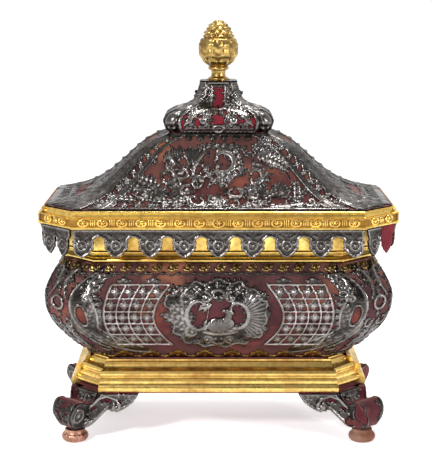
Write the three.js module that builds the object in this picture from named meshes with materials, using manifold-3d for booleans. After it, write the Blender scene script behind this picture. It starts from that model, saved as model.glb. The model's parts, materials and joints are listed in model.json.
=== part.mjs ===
// A baroque reliquary casket: a velvet-covered bombe box with silver mounts, gilt mouldings and a tall lid.
// Millimetres, +Z up, the front faces -Y. The origin is on the ground under the middle of the casket.
import * as THREE from "three";
import { mergeVertices } from "three/addons/utils/BufferGeometryUtils.js";
import Module from "manifold-3d";

const wasm = await Module();
wasm.setup();

// Driving dimensions
const corniceWidth = 500; // over the gilt moulding of the lid
const corniceDepth = 270;
const corniceCant = 50; // leg of the cut corner, along each side
const corniceHeight = 24;
const clearance = 0.3; // between pieces that touch

const bunHeight = 18;
const bunRadius = 19;
const bunOffset = 8; // from the plinth's corner
const footTop = 70; // underside of the base board
const footWidth = 36; // across the scroll leg
const wingReach = 99; // from the corner to the tip of a bracket
const sideReach = 78; // and on the ends
const wingThickness = 16;

const boardLip = 1.5; // velvet edge that shows under the gilt plinth
const plinthInset = 39; // from the cornice face to the foot of the plinth
const plinthCant = 42;
const plinthHeight = 41.6;
const plinthTopInset = 24; // how far the plinth steps in by its top
const cantSetback = 8; // cut-corner mouldings sit behind the long ones
const cantLift = 4; // and a little higher

const bodyHeight = 144; // plinth to shoulder
const bellyHeight = 95; // plinth to the widest line
const bellyFullness = 0.8; // below 1 the sides stay full further down
const bodyFootInset = 78;
const bellyInset = 10.6;
const shoulderInset = 34.5;
const bodyFootCant = 18;
const bellyCant = 37;
const shoulderCant = 40;
const neckHeight = 53; // shoulder to mouth
const neckInset = 44;
const wall = 9;
const floorThickness = 10;
const neckCant = 38;

const lidRise = 93.8; // eave to deck
const eaveInset = 10;
const deckHalfX = 63;
const deckHalfY = 46.5;
const deckCant = 8;
const deckThickness = 9;
const ogee = 0.6; // 0 gives a straight slope
const flare = 1.3; // how flat the roof runs out over the eave
const cantFade = 3; // how soon the cut corners narrow up the roof
const lidWall = 9;
const frameInner = 48; // inset of the opening in the lid's frame
const frameEdge = 14; // inset of the frame's outer face, behind the cornice
const frameHeight = 14;
const ribInward = 33; // from the hip to the inner rib, at the eave
const ribWidth = 6;
const edgeRibInward = 9;
const edgeRibWidth = 5;
const bossInward = 20;
const bossReach = 10.5;
const bandHeight = 6; // silver along the eave

const lanternBulge = 75.5;
const lanternBulgeDepth = 52;
const lanternTopHalf = 24;
const lanternHeight = 71;
const finialEgg = 28.2;
const finialHeight = 81.5;
const strapHalf = 20; // corner strap of the lantern, at its bulge

const silverThickness = 1.6;
const leafPitch = 36; // petals of the border under the rim
const flowerPitch = 38; // half flowers over the plinth
const cartoucheHalf = 76; // lamb cartouche, across
const cartoucheGap = 3.5; // between a cartouche and the borders
const endMargin = 97; // from the cornice face to the cartouche on an end
const trellisInset = 122; // from the cornice face to the outer foot of a trellis
const trellisNear = 58; // from the middle to its inner foot
const trellisSwell = 26;
const trellisBow = 31; // how far the inner edge bows
const trellisBar = 2.6;
const trellisEdge = 3.4;
const trellisLift = 8; // above the flower border
const trellisDrop = 10; // below the leaf border
const mountReach = 54; // corner mount, from the middle of the cut corner
const mountEnd = 16; // and its reach at top and foot
const mountGap = 1; // to the borders above and below
const lappetPitch = 46;
const lappetDrop = 39;
const lappetBand = 14.7;
const lappetInset = 6;
const lappetHalf = 15;

// Heights of the joints, from the ground up
const boardBottom = footTop + clearance;
const plinthBottom = boardBottom + boardLip;
const bodyBottom = plinthBottom + plinthHeight + clearance;
const belly = bodyBottom + bellyHeight;
const shoulder = bodyBottom + bodyHeight;
const mouth = shoulder + neckHeight;
const lidBottom = mouth + clearance;
const eave = lidBottom + corniceHeight + 1.5;
const deck = eave + lidRise;
const lanternBottom = deck + clearance;
const lanternTop = lanternBottom + lanternHeight;

const model = new THREE.Group();

const colours = {
  velvet: 0x7c4038, brightVelvet: 0xa33142, silver: 0x7d7a7c, gilt: 0xd8a63a, copper: 0xc08a63,
};

function material(colour, metalness, roughness) {
  return new THREE.MeshStandardMaterial({ color: colours[colour], metalness, roughness });
}

const finishes = {
  velvet: () => material("velvet", 0, 0.9),
  brightVelvet: () => material("brightVelvet", 0, 0.9),
  silver: () => material("silver", 0.9, 0.35),
  gilt: () => material("gilt", 1, 0.28),
  copper: () => material("copper", 0.6, 0.45),
};

function addPiece(name, geometry, finish) {
  const mesh = new THREE.Mesh(geometry, finishes[finish]());
  mesh.name = name;
  model.add(mesh);
  return mesh;
}

// A closed body whose touching corners are one, ready to be joined or cut
function solid(geometry) {
  const bare = geometry.index ? geometry.clone() : geometry;
  bare.deleteAttribute("normal");
  bare.deleteAttribute("uv");
  const merged = mergeVertices(bare, 1e-4);
  const vertProperties = new Float32Array(merged.attributes.position.array);
  const triVerts = new Uint32Array(merged.index.array);
  return new wasm.Manifold(new wasm.Mesh({ numProp: 3, vertProperties, triVerts }));
}

function join(solids) {
  return solids.reduce((all, next) => all.add(next));
}

function geometryOf(manifold) {
  const mesh = manifold.getMesh();
  const geometry = new THREE.BufferGeometry();
  geometry.setAttribute("position", new THREE.BufferAttribute(new Float32Array(mesh.vertProperties), 3));
  geometry.setIndex(Array.from(mesh.triVerts));
  return geometry;
}

function mirrored(geometry, signX, signY) {
  const copy = geometry.clone();
  copy.scale(signX, signY, 1);
  if (signX * signY < 0) {
    const index = copy.index.array;
    for (let i = 0; i < index.length; i += 3) {
      [index[i], index[i + 1]] = [index[i + 1], index[i]];
    }
  }
  return copy;
}

// A closed body through rings of equally many points; "closed" joins the last ring to the first
function loft(rings, closed = false) {
  const count = rings[0].length;
  const positions = rings.flat().flatMap((p) => [p.x, p.y, p.z]);
  const index = [];
  const steps = closed ? rings.length : rings.length - 1;
  for (let i = 0; i < steps; i += 1) {
    const low = i * count;
    const high = ((i + 1) % rings.length) * count;
    for (let j = 0; j < count; j += 1) {
      const next = (j + 1) % count;
      index.push(low + j, low + next, high + next, low + j, high + next, high + j);
    }
  }
  if (!closed) {
    capRing(index, positions, rings[0], 0, true);
    capRing(index, positions, rings[rings.length - 1], (rings.length - 1) * count, false);
  }
  const geometry = new THREE.BufferGeometry();
  geometry.setAttribute("position", new THREE.Float32BufferAttribute(positions, 3));
  geometry.setIndex(index);
  return geometry;
}

function capRing(index, positions, ring, start, downward) {
  const middle = ring.reduce((sum, p) => sum.add(p), new THREE.Vector3()).divideScalar(ring.length);
  const centre = positions.length / 3;
  positions.push(middle.x, middle.y, middle.z);
  for (let j = 0; j < ring.length; j += 1) {
    const a = start + j;
    const b = start + ((j + 1) % ring.length);
    index.push(...(downward ? [centre, b, a] : [centre, a, b]));
  }
}

// A plan is a rectangle with cut corners, its points running anticlockwise from the front left
function plan(halfX, halfY, cant, z) {
  const x = halfX - cant;
  const y = halfY - cant;
  const corners = [
    [-x, -halfY], [x, -halfY], [halfX, -y], [halfX, y],
    [x, halfY], [-x, halfY], [-halfX, y], [-halfX, -y],
  ];
  return corners.map(([px, py]) => new THREE.Vector3(px, py, z));
}

const cantShare = 2 - Math.SQRT2; // how the cut corner's leg grows as a plan grows

function planAt(inset, cant, z, grow = 0) {
  const halfX = corniceWidth / 2 - inset + grow;
  const halfY = corniceDepth / 2 - inset + grow;
  return plan(halfX, halfY, cant + cantShare * grow, z);
}

function corniceCantAt(inset) {
  return corniceCant - cantShare * inset;
}

function plinthCantAt(inset) {
  return plinthCant - cantShare * (inset - plinthInset);
}

// Body: the bombe sides follow a quarter wave below the belly and another above it
function bodyStation(z) {
  const low = z < belly;
  const reach = low ? (belly - z) / bellyHeight : (z - belly) / (bodyHeight - bellyHeight);
  const swell = Math.max(Math.cos((Math.PI / 2) * reach), 0) ** (low ? bellyFullness : 1);
  const edgeInset = low ? bodyFootInset : shoulderInset;
  const edgeCant = low ? bodyFootCant : shoulderCant;
  return {
    z,
    inset: edgeInset - (edgeInset - bellyInset) * swell,
    cant: edgeCant + (bellyCant - edgeCant) * swell,
  };
}

const lowerSteps = 5;
const upperSteps = 2;

function bodyHeights() {
  const heights = [];
  for (let i = 0; i <= lowerSteps; i += 1) {
    heights.push(bodyBottom + (bellyHeight * i) / lowerSteps);
  }
  for (let i = 1; i <= upperSteps; i += 1) {
    heights.push(belly + ((bodyHeight - bellyHeight) * i) / upperSteps);
  }
  return heights;
}

function bodyRing(z, grow = 0) {
  const { inset, cant } = bodyStation(z);
  return planAt(inset, cant, z, grow);
}

function casketBody() {
  const outer = bodyHeights().map((z) => bodyRing(z));
  const inner = bodyHeights()
    .filter((z) => z > bodyBottom + floorThickness && z < shoulder - 1)
    .map((z) => bodyRing(z, -wall));
  const floorZ = bodyBottom + floorThickness;
  const rings = [
    ...outer,
    planAt(neckInset, neckCant, shoulder),
    planAt(neckInset, neckCant, mouth),
    planAt(neckInset, neckCant, mouth, -wall),
    planAt(neckInset, neckCant, shoulder - wall / 2, -wall),
    ...inner.reverse(),
    bodyRing(floorZ, -wall),
  ];
  return loft(rings);
}

// Flat outlines, extruded through a shell so that they keep the curve of what they lie on
function prism(points, depth) {
  const shape = new THREE.Shape(points.map(([u, v]) => new THREE.Vector2(u, v)));
  return new THREE.ExtrudeGeometry(shape, { depth, bevelEnabled: false });
}

// Stands a prism up, with its outline's second axis as height, facing the given way round the casket
function facing(geometry, turn) {
  geometry.rotateX(Math.PI / 2);
  geometry.rotateZ(turn);
  return geometry;
}

// An acanthus leaf from its root, with "lobes" points along each edge
function leafPoints({ x, z, angle, length, width, lobes }) {
  const turn = THREE.MathUtils.degToRad(angle);
  const along = new THREE.Vector2(Math.cos(turn), Math.sin(turn));
  const across = new THREE.Vector2(-along.y, along.x);
  const edge = (side) => {
    const points = [];
    for (let i = 0; i < lobes * 2; i += 1) {
      const share = (i + 0.5) / (lobes * 2);
      const bulge = Math.sin(Math.PI * Math.min(1, share * 0.85 + 0.12));
      const reach = (side * width * bulge * (i % 2 ? 1 : 0.72)) / 2;
      const u = x + along.x * length * share + across.x * reach;
      const v = z + along.y * length * share + across.y * reach;
      points.push([u, v]);
    }
    return points;
  };
  return [...edge(-1), [x + along.x * length, z + along.y * length], ...edge(1).reverse()];
}

const shapesBy = {
  leaf: leafPoints,
  outline: ({ points }) => points,
};

function flip(shape) {
  if (shape.kind === "outline") return { ...shape, points: shape.points.map(([u, v]) => [-u, v]) };
  return { ...shape, x: -shape.x, angle: 180 - shape.angle };
}

// How far a cut corner's middle lies to the side of the line that runs out from the axis at that turn
function cornerShift(turn, halfX, halfY) {
  return ((halfX - halfY) * Math.sin(2 * turn)) / Math.SQRT2;
}

function shifted(points, shift) {
  return points.map(([u, v]) => [u + shift, v]);
}

function standing(points, turn) {
  return solid(facing(prism(orient(points), corniceWidth), turn));
}

function ornament(shapes, turn, shell, holes = []) {
  const solids = shapes.map((shape) => standing(shapesBy[shape.kind](shape), turn));
  const openwork = holes.reduce((all, hole) => all.subtract(standing(hole, turn)), join(solids));
  return geometryOf(openwork.intersect(shell));
}

function shellOver(ringAt, heights, thickness = silverThickness) {
  const outer = solid(loft(heights.map((z) => ringAt(z, clearance + thickness))));
  const inner = solid(loft(heights.map((z) => ringAt(z, clearance))));
  return outer.subtract(inner);
}

const bodyShell = shellOver(bodyRing, bodyHeights());
const front = 0;
const right = Math.PI / 2;
const back = Math.PI;
const left = -Math.PI / 2;
const diagonal = Math.PI / 4;

// Gilt moulding round the neck of the box, and the leaf border that hangs under it
function rimMoulding() {
  const swell = neckInset / 44;
  const rise = neckHeight / 53;
  const inner = neckInset - clearance;
  const drawn = [
    [34, 0.4], [33, 3], [35.5, 8], [38.5, 11], [39, 16], [37, 17.5], [37.5, 42], [40, 44],
  ].map(([inset, z]) => [inset * swell, z * rise]);
  const section = [...drawn, [inner, 44 * rise], [inner, 0.4 * rise]];
  const cantAt = (inset) => neckCant + cantShare * (neckInset - inset);
  return loft(section.map(([inset, z]) => planAt(inset, cantAt(inset), shoulder + z)), true);
}

// Half lengths of the body's eight sides at a height, each with the way that side faces
function bodySides(z) {
  const { inset, cant } = bodyStation(z);
  const halfX = corniceWidth / 2 - inset - cant;
  const halfY = corniceDepth / 2 - inset - cant;
  const cut = cant / Math.SQRT2;
  return [
    [front, halfX], [diagonal, cut], [right, halfY], [3 * diagonal, cut],
    [back, halfX], [-3 * diagonal, cut], [left, halfY], [-diagonal, cut],
  ];
}

function bodyShift(turn) {
  return cornerShift(turn, corniceWidth / 2, corniceDepth / 2);
}

const leafTip = shoulder - leafPitch * 0.39;
const flowerTop = bodyBottom + flowerPitch / 2;

function leafBorder() {
  const top = shoulder - 1;
  const valley = shoulder - leafPitch / 4;
  const overlap = leafPitch / 9;
  const solids = bodySides(valley).map(([turn, side]) => {
    const half = side + overlap;
    const count = Math.max(1, Math.round((2 * half) / leafPitch));
    const step = (2 * half) / count;
    const points = [[half, top], [-half, top]];
    for (let i = 0; i < count; i += 1) {
      points.push([-half + step * i, valley], [-half + step * (i + 0.5), leafTip]);
    }
    points.push([half, valley]);
    return standing(shifted(points, bodyShift(turn)), turn);
  });
  return geometryOf(join(solids).intersect(bodyShell));
}

function flowerBorder() {
  const base = bodyBottom + 1;
  const top = base + flowerPitch * 0.105;
  const petal = flowerPitch * 0.342;
  const solids = bodySides(top).map(([turn, side]) => {
    const half = side + 2;
    const count = Math.floor((2 * side) / flowerPitch);
    const points = [[-half, top], [-half, base], [half, base], [half, top]];
    for (let i = count - 1; i >= 0; i -= 1) {
      const x = (i - (count - 1) / 2) * flowerPitch;
      points.push([x + petal, top], [x, flowerTop], [x - petal, top]);
    }
    return standing(shifted(points, bodyShift(turn)), turn);
  });
  return geometryOf(join(solids).intersect(bodyShell));
}

// Cartouches on the four sides of the body
const cartoucheZ = (flowerTop + leafTip) / 2 - 1.5;
const cartoucheRise = (leafTip - flowerTop) / 2 - cartoucheGap;

// An oval frame of scrolls and leaves, lobed outside and open in the middle
function lobedOval(x, z, radiusX, radiusZ, lobes, depth = 0.8) {
  const points = [];
  for (let i = 0; i < lobes * 2; i += 1) {
    const angle = (Math.PI * (i + 0.5)) / lobes;
    const reach = i % 2 ? depth : 1;
    points.push([x + radiusX * reach * Math.cos(angle), z + radiusZ * reach * Math.sin(angle)]);
  }
  return { kind: "outline", points };
}

function oval(x, z, radiusX, radiusZ, sides) {
  return lobedOval(x, z, radiusX, radiusZ, sides / 2, 1).points;
}

function frameOnly(turn, radiusX, radiusZ, lobes) {
  const frame = lobedOval(0, cartoucheZ, radiusX, radiusZ, lobes);
  const opening = oval(0, cartoucheZ, radiusX * 0.42, radiusZ * 0.48, 8);
  return ornament([frame], turn, bodyShell, [opening]);
}

function lambCartouche() {
  const ring = lobedOval(0, cartoucheZ, cartoucheHalf, cartoucheRise, 13);
  const side = {
    kind: "leaf", x: -cartoucheHalf * 0.6, z: cartoucheZ - cartoucheRise * 0.15, angle: 165,
    length: cartoucheHalf * 0.45, width: cartoucheRise / 2, lobes: 2,
  };
  const opening = standing(oval(0, cartoucheZ + 2, cartoucheHalf * 0.45, cartoucheRise * 0.56, 10), front);
  const frame = join([ring, side, flip(side)].map((shape) => standing(shapesBy[shape.kind](shape), front)));
  const figure = join(lamb().map((shape) => standing(orient(shapesBy[shape.kind](shape)), front)));
  return geometryOf(frame.subtract(opening).add(figure).intersect(bodyShell));
}

// The lamb lies to the right on its rock, with a small banner behind it
function lamb() {
  const across = cartoucheHalf / 76;
  const up = cartoucheRise / 52;
  const z = cartoucheZ - 18 * up;
  const head = [[6, -2], [16, 2], [22, 17], [21, 24], [9, 24], [5, 8]];
  const banner = [[-12, 0], [-10, 32], [-22, 27], [-20, 19], [-13, 20], [-16, 0]];
  const rock = [[-26, -18], [26, -18], [20, -7], [-20, -7]];
  const placed = (drawn) => drawn.map(([u, v]) => [u * across, z + v * up]);
  return [
    lobedOval(0, z, 19 * across, 10 * up, 4, 0.9),
    ...[head, banner, rock].map((drawn) => ({ kind: "outline", points: placed(drawn) })),
  ];
}

function trellis(side) {
  const bottom = flowerTop + trellisLift;
  const top = leafTip - trellisDrop;
  const columns = 4;
  const rows = 5;
  const bar = trellisBar;
  const edge = trellisEdge;
  const rise = top - bottom;
  const swell = (z, below, above) => {
    const reach = (z - bottom) / rise + below;
    return Math.sin((reach / (1 + below + above)) * Math.PI);
  };
  const outer = corniceWidth / 2 - trellisInset;
  const outerX = (z) => outer + trellisSwell * swell(z, 0.19, 0.19) + 0.06 * (z - bottom);
  const innerX = (z) => trellisNear + trellisBow * swell(z, 0.065, 0.085);
  const at = (share, z) => side * (innerX(z) + (outerX(z) - innerX(z)) * share);
  const levels = Array.from({ length: rows + 1 }, (_, i) => bottom + ((top - bottom) * i) / rows);
  const outline = [];
  for (const z of levels) outline.push([at(1, z), z]);
  for (const z of [...levels].reverse()) outline.push([at(0, z), z]);
  const holes = [];
  for (let i = 0; i < rows; i += 1) {
    for (let j = 0; j < columns; j += 1) {
      const low = levels[i] + (i === 0 ? edge : bar / 2);
      const high = levels[i + 1] - (i === rows - 1 ? edge : bar / 2);
      const nearGap = side * (j === 0 ? edge : bar / 2);
      const farGap = side * (j === columns - 1 ? edge : bar / 2);
      const near = j / columns;
      const far = (j + 1) / columns;
      holes.push([
        [at(near, low) + nearGap, low], [at(far, low) - farGap, low],
        [at(far, high) - farGap, high], [at(near, high) + nearGap, high],
      ]);
    }
  }
  return ornament([{ kind: "outline", points: outline }], front, bodyShell, holes);
}

// Mounts that wrap a cut corner, seen square to it
function cornerMount(turn) {
  const low = flowerTop + mountGap;
  const high = leafTip - mountGap;
  const middle = (low + high) / 2;
  const teeth = 4;
  const side = [];
  for (let i = 0; i <= teeth * 2; i += 1) {
    const share = i / (teeth * 2);
    const reach = mountEnd + (mountReach - mountEnd) * Math.sin(Math.PI * share) ** 0.7;
    side.push([reach * (i % 2 ? 1 : 0.78), low + (high - low) * share]);
  }
  const outline = [...side, ...side.map(([u, v]) => [-u, v]).reverse()];
  const shift = bodyShift(turn);
  const shapes = [{ kind: "outline", points: shifted(outline, shift) }];
  const window = oval(shift, middle + 2, mountReach * 0.22, (high - low) * 0.147, 8);
  return ornament(shapes, turn, bodyShell, [window]);
}

// Plinth: the same gilt section runs along every side, mitred where two strips meet
function plinthSection() {
  const across = plinthTopInset / 24;
  const up = plinthHeight / 41.6;
  const drawn = [
    [2, 0], [0, 5], [2.5, 12], [5, 19], [8, 21], [7, 25], [10, 30], [18, 33.6], [21, 38.6],
    [24, 39.6], [24, 41.6],
  ];
  return drawn.map(([inset, z]) => [plinthInset + inset * across, plinthBottom + z * up]);
}

const plinthBack = plinthInset + plinthTopInset + 3;

// One strip of a moulding: its section swept between two corners of the plan
function strip(section, cantAt, face, end = clearance) {
  const ringAt = (which) => section.map(([inset, z]) => {
    const corners = planAt(inset, cantAt(inset), z);
    const from = corners[face];
    const to = corners[(face + 1) % 8];
    const along = to.clone().sub(from).normalize();
    return which ? to.clone().addScaledVector(along, -end) : from.clone().addScaledVector(along, end);
  });
  return loft([ringAt(1), ringAt(0)]);
}

function plinthStrip(face) {
  const cut = face % 2 === 1;
  const section = plinthSection();
  if (!cut) {
    section.push([plinthBack, plinthBottom + plinthHeight], [plinthBack, plinthBottom]);
    return strip(section, plinthCantAt, face);
  }
  const squeeze = 1 - cantLift / plinthHeight;
  const lifted = section.map(([inset, z]) => [
    inset + cantSetback,
    plinthBottom + cantLift + (z - plinthBottom) * squeeze,
  ]);
  const recess = plinthInset + cantSetback + 5;
  const ring = [
    [recess, plinthBottom], [recess, plinthBottom + cantLift], ...lifted,
    [plinthBack + cantSetback, lifted[lifted.length - 1][1]], [plinthBack + cantSetback, plinthBottom],
  ];
  return strip(ring, plinthCantAt, face);
}

// Plan leg that puts a cut corner behind the set-back mouldings
function boardPlan(inset, z) {
  const cornerInset = inset + cantSetback;
  const reach = corniceWidth / 2 - cornerInset + corniceDepth / 2 - cornerInset - plinthCantAt(cornerInset);
  const halfX = corniceWidth / 2 - inset;
  const halfY = corniceDepth / 2 - inset;
  return plan(halfX, halfY, halfX + halfY - reach, z);
}

function baseBoard() {
  const lipInset = plinthInset + 2.5;
  const coreInset = plinthBack + clearance;
  return loft([
    boardPlan(lipInset, boardBottom),
    boardPlan(lipInset, plinthBottom - clearance),
    boardPlan(coreInset, plinthBottom - clearance),
    boardPlan(coreInset, bodyBottom - clearance),
  ]);
}

// Feet: two bracket wings and a scroll leg on the diagonal, measured inwards from the plinth's corner
function wingOutline(reach) {
  const across = reach / 99;
  const up = footTop / 70;
  const low = bunHeight + 2;
  const curve = [[45, 38], [55, 48], [67, 42], [77, 47], [91, 57]].map(([x, z]) => [x * across, z * up]);
  return [[12 * across, footTop], [14 * across, low], [27 * across, low], ...curve, [reach, footTop]];
}

function wing(reach) {
  const body = facing(prism(wingOutline(reach), wingThickness), front);
  body.translate(0, wingThickness + 2, 0);
  return body;
}

function swapAxes(geometry) {
  const position = geometry.attributes.position;
  for (let i = 0; i < position.count; i += 1) {
    const x = position.getX(i);
    position.setX(i, position.getY(i));
    position.setY(i, x);
  }
  const index = geometry.index ? geometry.index.array : null;
  if (index) {
    for (let i = 0; i < index.length; i += 3) [index[i], index[i + 1]] = [index[i + 1], index[i]];
  }
  return geometry;
}

function indexed(geometry) {
  const bare = geometry.clone();
  bare.deleteAttribute("normal");
  bare.deleteAttribute("uv");
  return mergeVertices(bare, 1e-4);
}

function scrollLeg() {
  const drawn = [
    [34, 70], [28, 56], [18, 54], [7, 61], [-4, 59], [-12, 49], [-11, 37], [-3, 20], [20, 20],
    [36, 34], [50, 70],
  ];
  const scale = footTop / 70;
  const profile = drawn.map(([u, z]) => [u * scale, Math.max(z * scale, bunHeight + 2)]);
  const geometry = prism(profile, footWidth);
  geometry.translate(0, 0, -footWidth / 2);
  return facing(geometry, diagonal);
}

function foot() {
  const sideWing = swapAxes(indexed(wing(sideReach)));
  return geometryOf(join([solid(wing(wingReach)), solid(sideWing), solid(scrollLeg())]));
}

function bunFoot() {
  const profile = [
    [0, 0], [13, 0], [19, 6], [17, 12], [14.5, 14], [14, 18], [0, 18],
  ].map(([r, z]) => new THREE.Vector2((r * bunRadius) / 19, (z * bunHeight) / 18));
  const geometry = new THREE.LatheGeometry(profile, 10);
  geometry.rotateX(Math.PI / 2);
  return geometry;
}

// Lid: an ogee roof over a frame, open underneath
function roofRise(share) {
  const run = share ** flare;
  return eave + lidRise * (run - (ogee * Math.sin(2 * Math.PI * run)) / (2 * Math.PI));
}

function roofRing(share, grow = 0) {
  const eaveX = corniceWidth / 2 - eaveInset;
  const eaveY = corniceDepth / 2 - eaveInset;
  const halfX = eaveX + (deckHalfX - eaveX) * share + grow;
  const halfY = eaveY + (deckHalfY - eaveY) * share + grow;
  const leg = deckCant + (corniceCantAt(eaveInset) - deckCant) * (1 - share) ** cantFade;
  const cant = Math.max(leg + cantShare * grow, clearance);
  return plan(halfX, halfY, cant, roofRise(share));
}

const roofSteps = 5;
const roofShares = Array.from({ length: roofSteps + 1 }, (_, i) => i / roofSteps);

function lidRoof() {
  const drop = lidWall * 1.3;
  const inner = roofShares
    .filter((share) => share > 0.24 && share < 0.9)
    .map((share) => roofRing(share, -lidWall * 0.7).map((p) => p.setZ(p.z - drop)));
  const ceiling = roofRing(0.94, -lidWall).map((p) => p.setZ(deck - deckThickness - 6));
  const frameTop = lidBottom + frameHeight;
  const rings = [
    ceiling,
    ...inner.reverse(),
    planAt(frameInner, corniceCantAt(frameInner), frameTop),
    planAt(frameInner, corniceCantAt(frameInner), lidBottom),
    planAt(frameEdge, corniceCantAt(frameEdge), lidBottom),
    planAt(frameEdge, corniceCantAt(frameEdge), eave - 0.4),
    ...roofShares.map((share) => roofRing(share)),
  ];
  return loft(rings);
}

function corniceSection() {
  const scale = corniceHeight / 24;
  const inner = frameEdge - clearance;
  const drawn = [
    [2, 0], [0.5, 2], [2, 3.5], [0, 4.5], [0, 14], [2, 16], [7, 20], [6, 22], [8, 24],
  ].map(([inset, z]) => [inset * scale, lidBottom + z * scale]);
  return [[inner, lidBottom], ...drawn, [inner, lidBottom + corniceHeight]];
}

function corniceStrip(face) {
  const cut = face % 2 === 1;
  const shift = cut ? 2.5 : 0;
  const section = corniceSection().map(([inset, z]) => [Math.min(inset + shift, frameEdge - clearance), z]);
  return strip(section, corniceCantAt, face);
}

// Silver lambrequin: pointed lappets under a band, one flat strip for each side
function lambrequin(face) {
  const inset = lappetInset;
  const corners = planAt(inset, corniceCantAt(inset), 0);
  const from = corners[face];
  const to = corners[(face + 1) % 8];
  const cut = face % 2 === 1;
  const half = from.distanceTo(to) / 2 - (cut ? 3 : 2);
  const pitch = cut ? half - 1 : lappetPitch;
  const count = cut ? 2 : 2 * Math.floor((half - 8) / pitch) + 1;
  const wide = cut ? lappetHalf * 0.75 : lappetHalf;
  const top = lidBottom - clearance;
  const band = top - lappetBand;
  const tip = top - lappetDrop;
  const points = [[half, top], [-half, top]];
  for (let i = 0; i < count; i += 1) {
    const x = (i - (count - 1) / 2) * pitch;
    const lappet = [
      [x - wide, band], [x - wide * 0.95, band - 12], [x, tip],
      [x + wide * 0.95, band - 12], [x + wide, band],
    ];
    points.push(...lappet.map(([u, v]) => [Math.max(-half, Math.min(half, u)), v]));
  }
  const apart = ([u, v], i) => i === 0 || Math.hypot(u - points[i - 1][0], v - points[i - 1][1]) > 0.5;
  const geometry = prism(points.filter(apart), silverThickness);
  geometry.rotateX(Math.PI / 2);
  const middle = from.clone().add(to).divideScalar(2);
  const along = to.clone().sub(from);
  geometry.rotateZ(Math.atan2(along.y, along.x));
  const outward = new THREE.Vector3(along.y, -along.x, 0).normalize();
  geometry.translate(middle.x - outward.x * silverThickness, middle.y - outward.y * silverThickness, 0);
  return geometry;
}

// Roof mounts: ribs along both hips, with bosses between them, and scrollwork on the slope
const roofShell = shellOver((share, grow) => roofRing(share, grow * 1.5), roofShares);

function hipLine(turn, inward) {
  const wide = turn === front || turn === back;
  return roofShares.map((share) => {
    const ring = roofRing(share);
    const edge = wide ? ring[1].x : ring[3].y;
    return [edge - inward * (1 - share * 0.62), roofRise(share)];
  });
}

function ribPoints(turn, inward, width) {
  const outer = hipLine(turn, inward - width / 2);
  const inner = hipLine(turn, inward + width / 2);
  return [...inner, ...outer.reverse()];
}

function roofMount(turn, scrolls, bosses, holes = []) {
  const half = [{ kind: "outline", points: ribPoints(turn, ribInward, ribWidth) }];
  if (bosses) half.push({ kind: "outline", points: ribPoints(turn, edgeRibInward, edgeRibWidth) });
  const near = hipLine(turn, bossInward);
  for (let i = 0; i < bosses; i += 1) {
    const share = 0.12 + (0.76 * i) / (bosses - 1);
    const at = share * roofSteps;
    const low = near[Math.floor(at)];
    const high = near[Math.min(roofSteps, Math.floor(at) + 1)];
    const part = at - Math.floor(at);
    const x = low[0] + (high[0] - low[0]) * part;
    const z = low[1] + (high[1] - low[1]) * part;
    const reach = bossReach * (1 - 0.57 * share);
    half.push(lobedOval(x, z, reach, reach * 0.8, 2, 1));
  }
  const hip = hipLine(turn, edgeRibInward);
  const foot = hip[0][0];
  const high = hip[roofSteps][0];
  const inward = foot - bandHeight * 1.7;
  const bandTop = eave + bandHeight;
  const under = deck - bandHeight * 0.8;
  const bands = [
    { kind: "outline", points: [[-foot, eave], [foot, eave], [inward, bandTop], [-inward, bandTop]] },
    { kind: "outline", points: [[-high, under], [high, under], [high, deck], [-high, deck]] },
  ];
  return ornament([...half, ...half.map(flip), ...bands, ...scrolls], turn, roofShell, holes);
}

const roofMiddle = eave + lidRise / 2;

// Half the length of a roof face, half way up its slope
function roofHalf(turn) {
  const ring = roofRing(0.5);
  return turn === front || turn === back ? ring[1].x : ring[3].y;
}

function roofScrolls() {
  const reach = roofHalf(front);
  const half = [
    {
      kind: "leaf", x: -reach * 0.2, z: roofMiddle + lidRise * 0.09, angle: 155, length: reach * 0.36,
      width: lidRise * 0.31, lobes: 2,
    },
    {
      kind: "leaf", x: -reach * 0.155, z: roofMiddle - lidRise * 0.156, angle: 189, length: reach * 0.88,
      width: lidRise * 0.38, lobes: 3,
    },
  ];
  const middle = lobedOval(0, roofMiddle - lidRise * 0.045, reach * 0.34, lidRise * 0.425, 7);
  return [...half, ...half.map(flip), middle];
}

function plainScrolls(turn) {
  const spread = roofHalf(turn) * 0.35;
  const leaf = {
    kind: "leaf", x: -spread * 0.25, z: roofMiddle - lidRise / 4, angle: 175, length: spread * 2,
    width: lidRise / 3, lobes: 2,
  };
  return [leaf, flip(leaf), lobedOval(0, roofMiddle - lidRise * 0.11, spread, lidRise * 0.4, 6)];
}

function hipMount(turn) {
  const sides = roofShares.map((share, i) => {
    const ring = roofRing(share);
    const half = ((ring[2].y - ring[1].y) / Math.SQRT2 - 1.5) * (i % 2 ? 1 : 0.86);
    return { half, shift: cornerShift(turn, ring[2].x, ring[4].y), z: roofRise(share) };
  });
  const points = [
    ...sides.map(({ half, shift, z }) => [shift + half, z]),
    ...sides.map(({ half, shift, z }) => [shift - half, z]).reverse(),
  ];
  return ornament([{ kind: "outline", points }], turn, roofShell);
}

// Lantern: a small bulging dome on the deck
function lanternStation(share) {
  const swell = lanternBulge / 75.5;
  const drawn = [
    [0, 66], [0.1, 72.5], [0.23, 75.5], [0.34, 71.5], [0.42, 62], [0.5, 44], [0.58, 34.5], [0.7, 29],
    [0.85, 26],
  ].map(([at, half]) => [at, half * swell]);
  const stations = [...drawn, [1, lanternTopHalf]];
  const next = stations.findIndex(([at]) => at >= share);
  if (next <= 0) return stations[0][1];
  const [fromAt, from] = stations[next - 1];
  const [toAt, to] = stations[next];
  return from + ((to - from) * (share - fromAt)) / (toAt - fromAt);
}

const lanternShares = [0, 0.1, 0.23, 0.38, 0.5, 0.62, 1];

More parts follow.
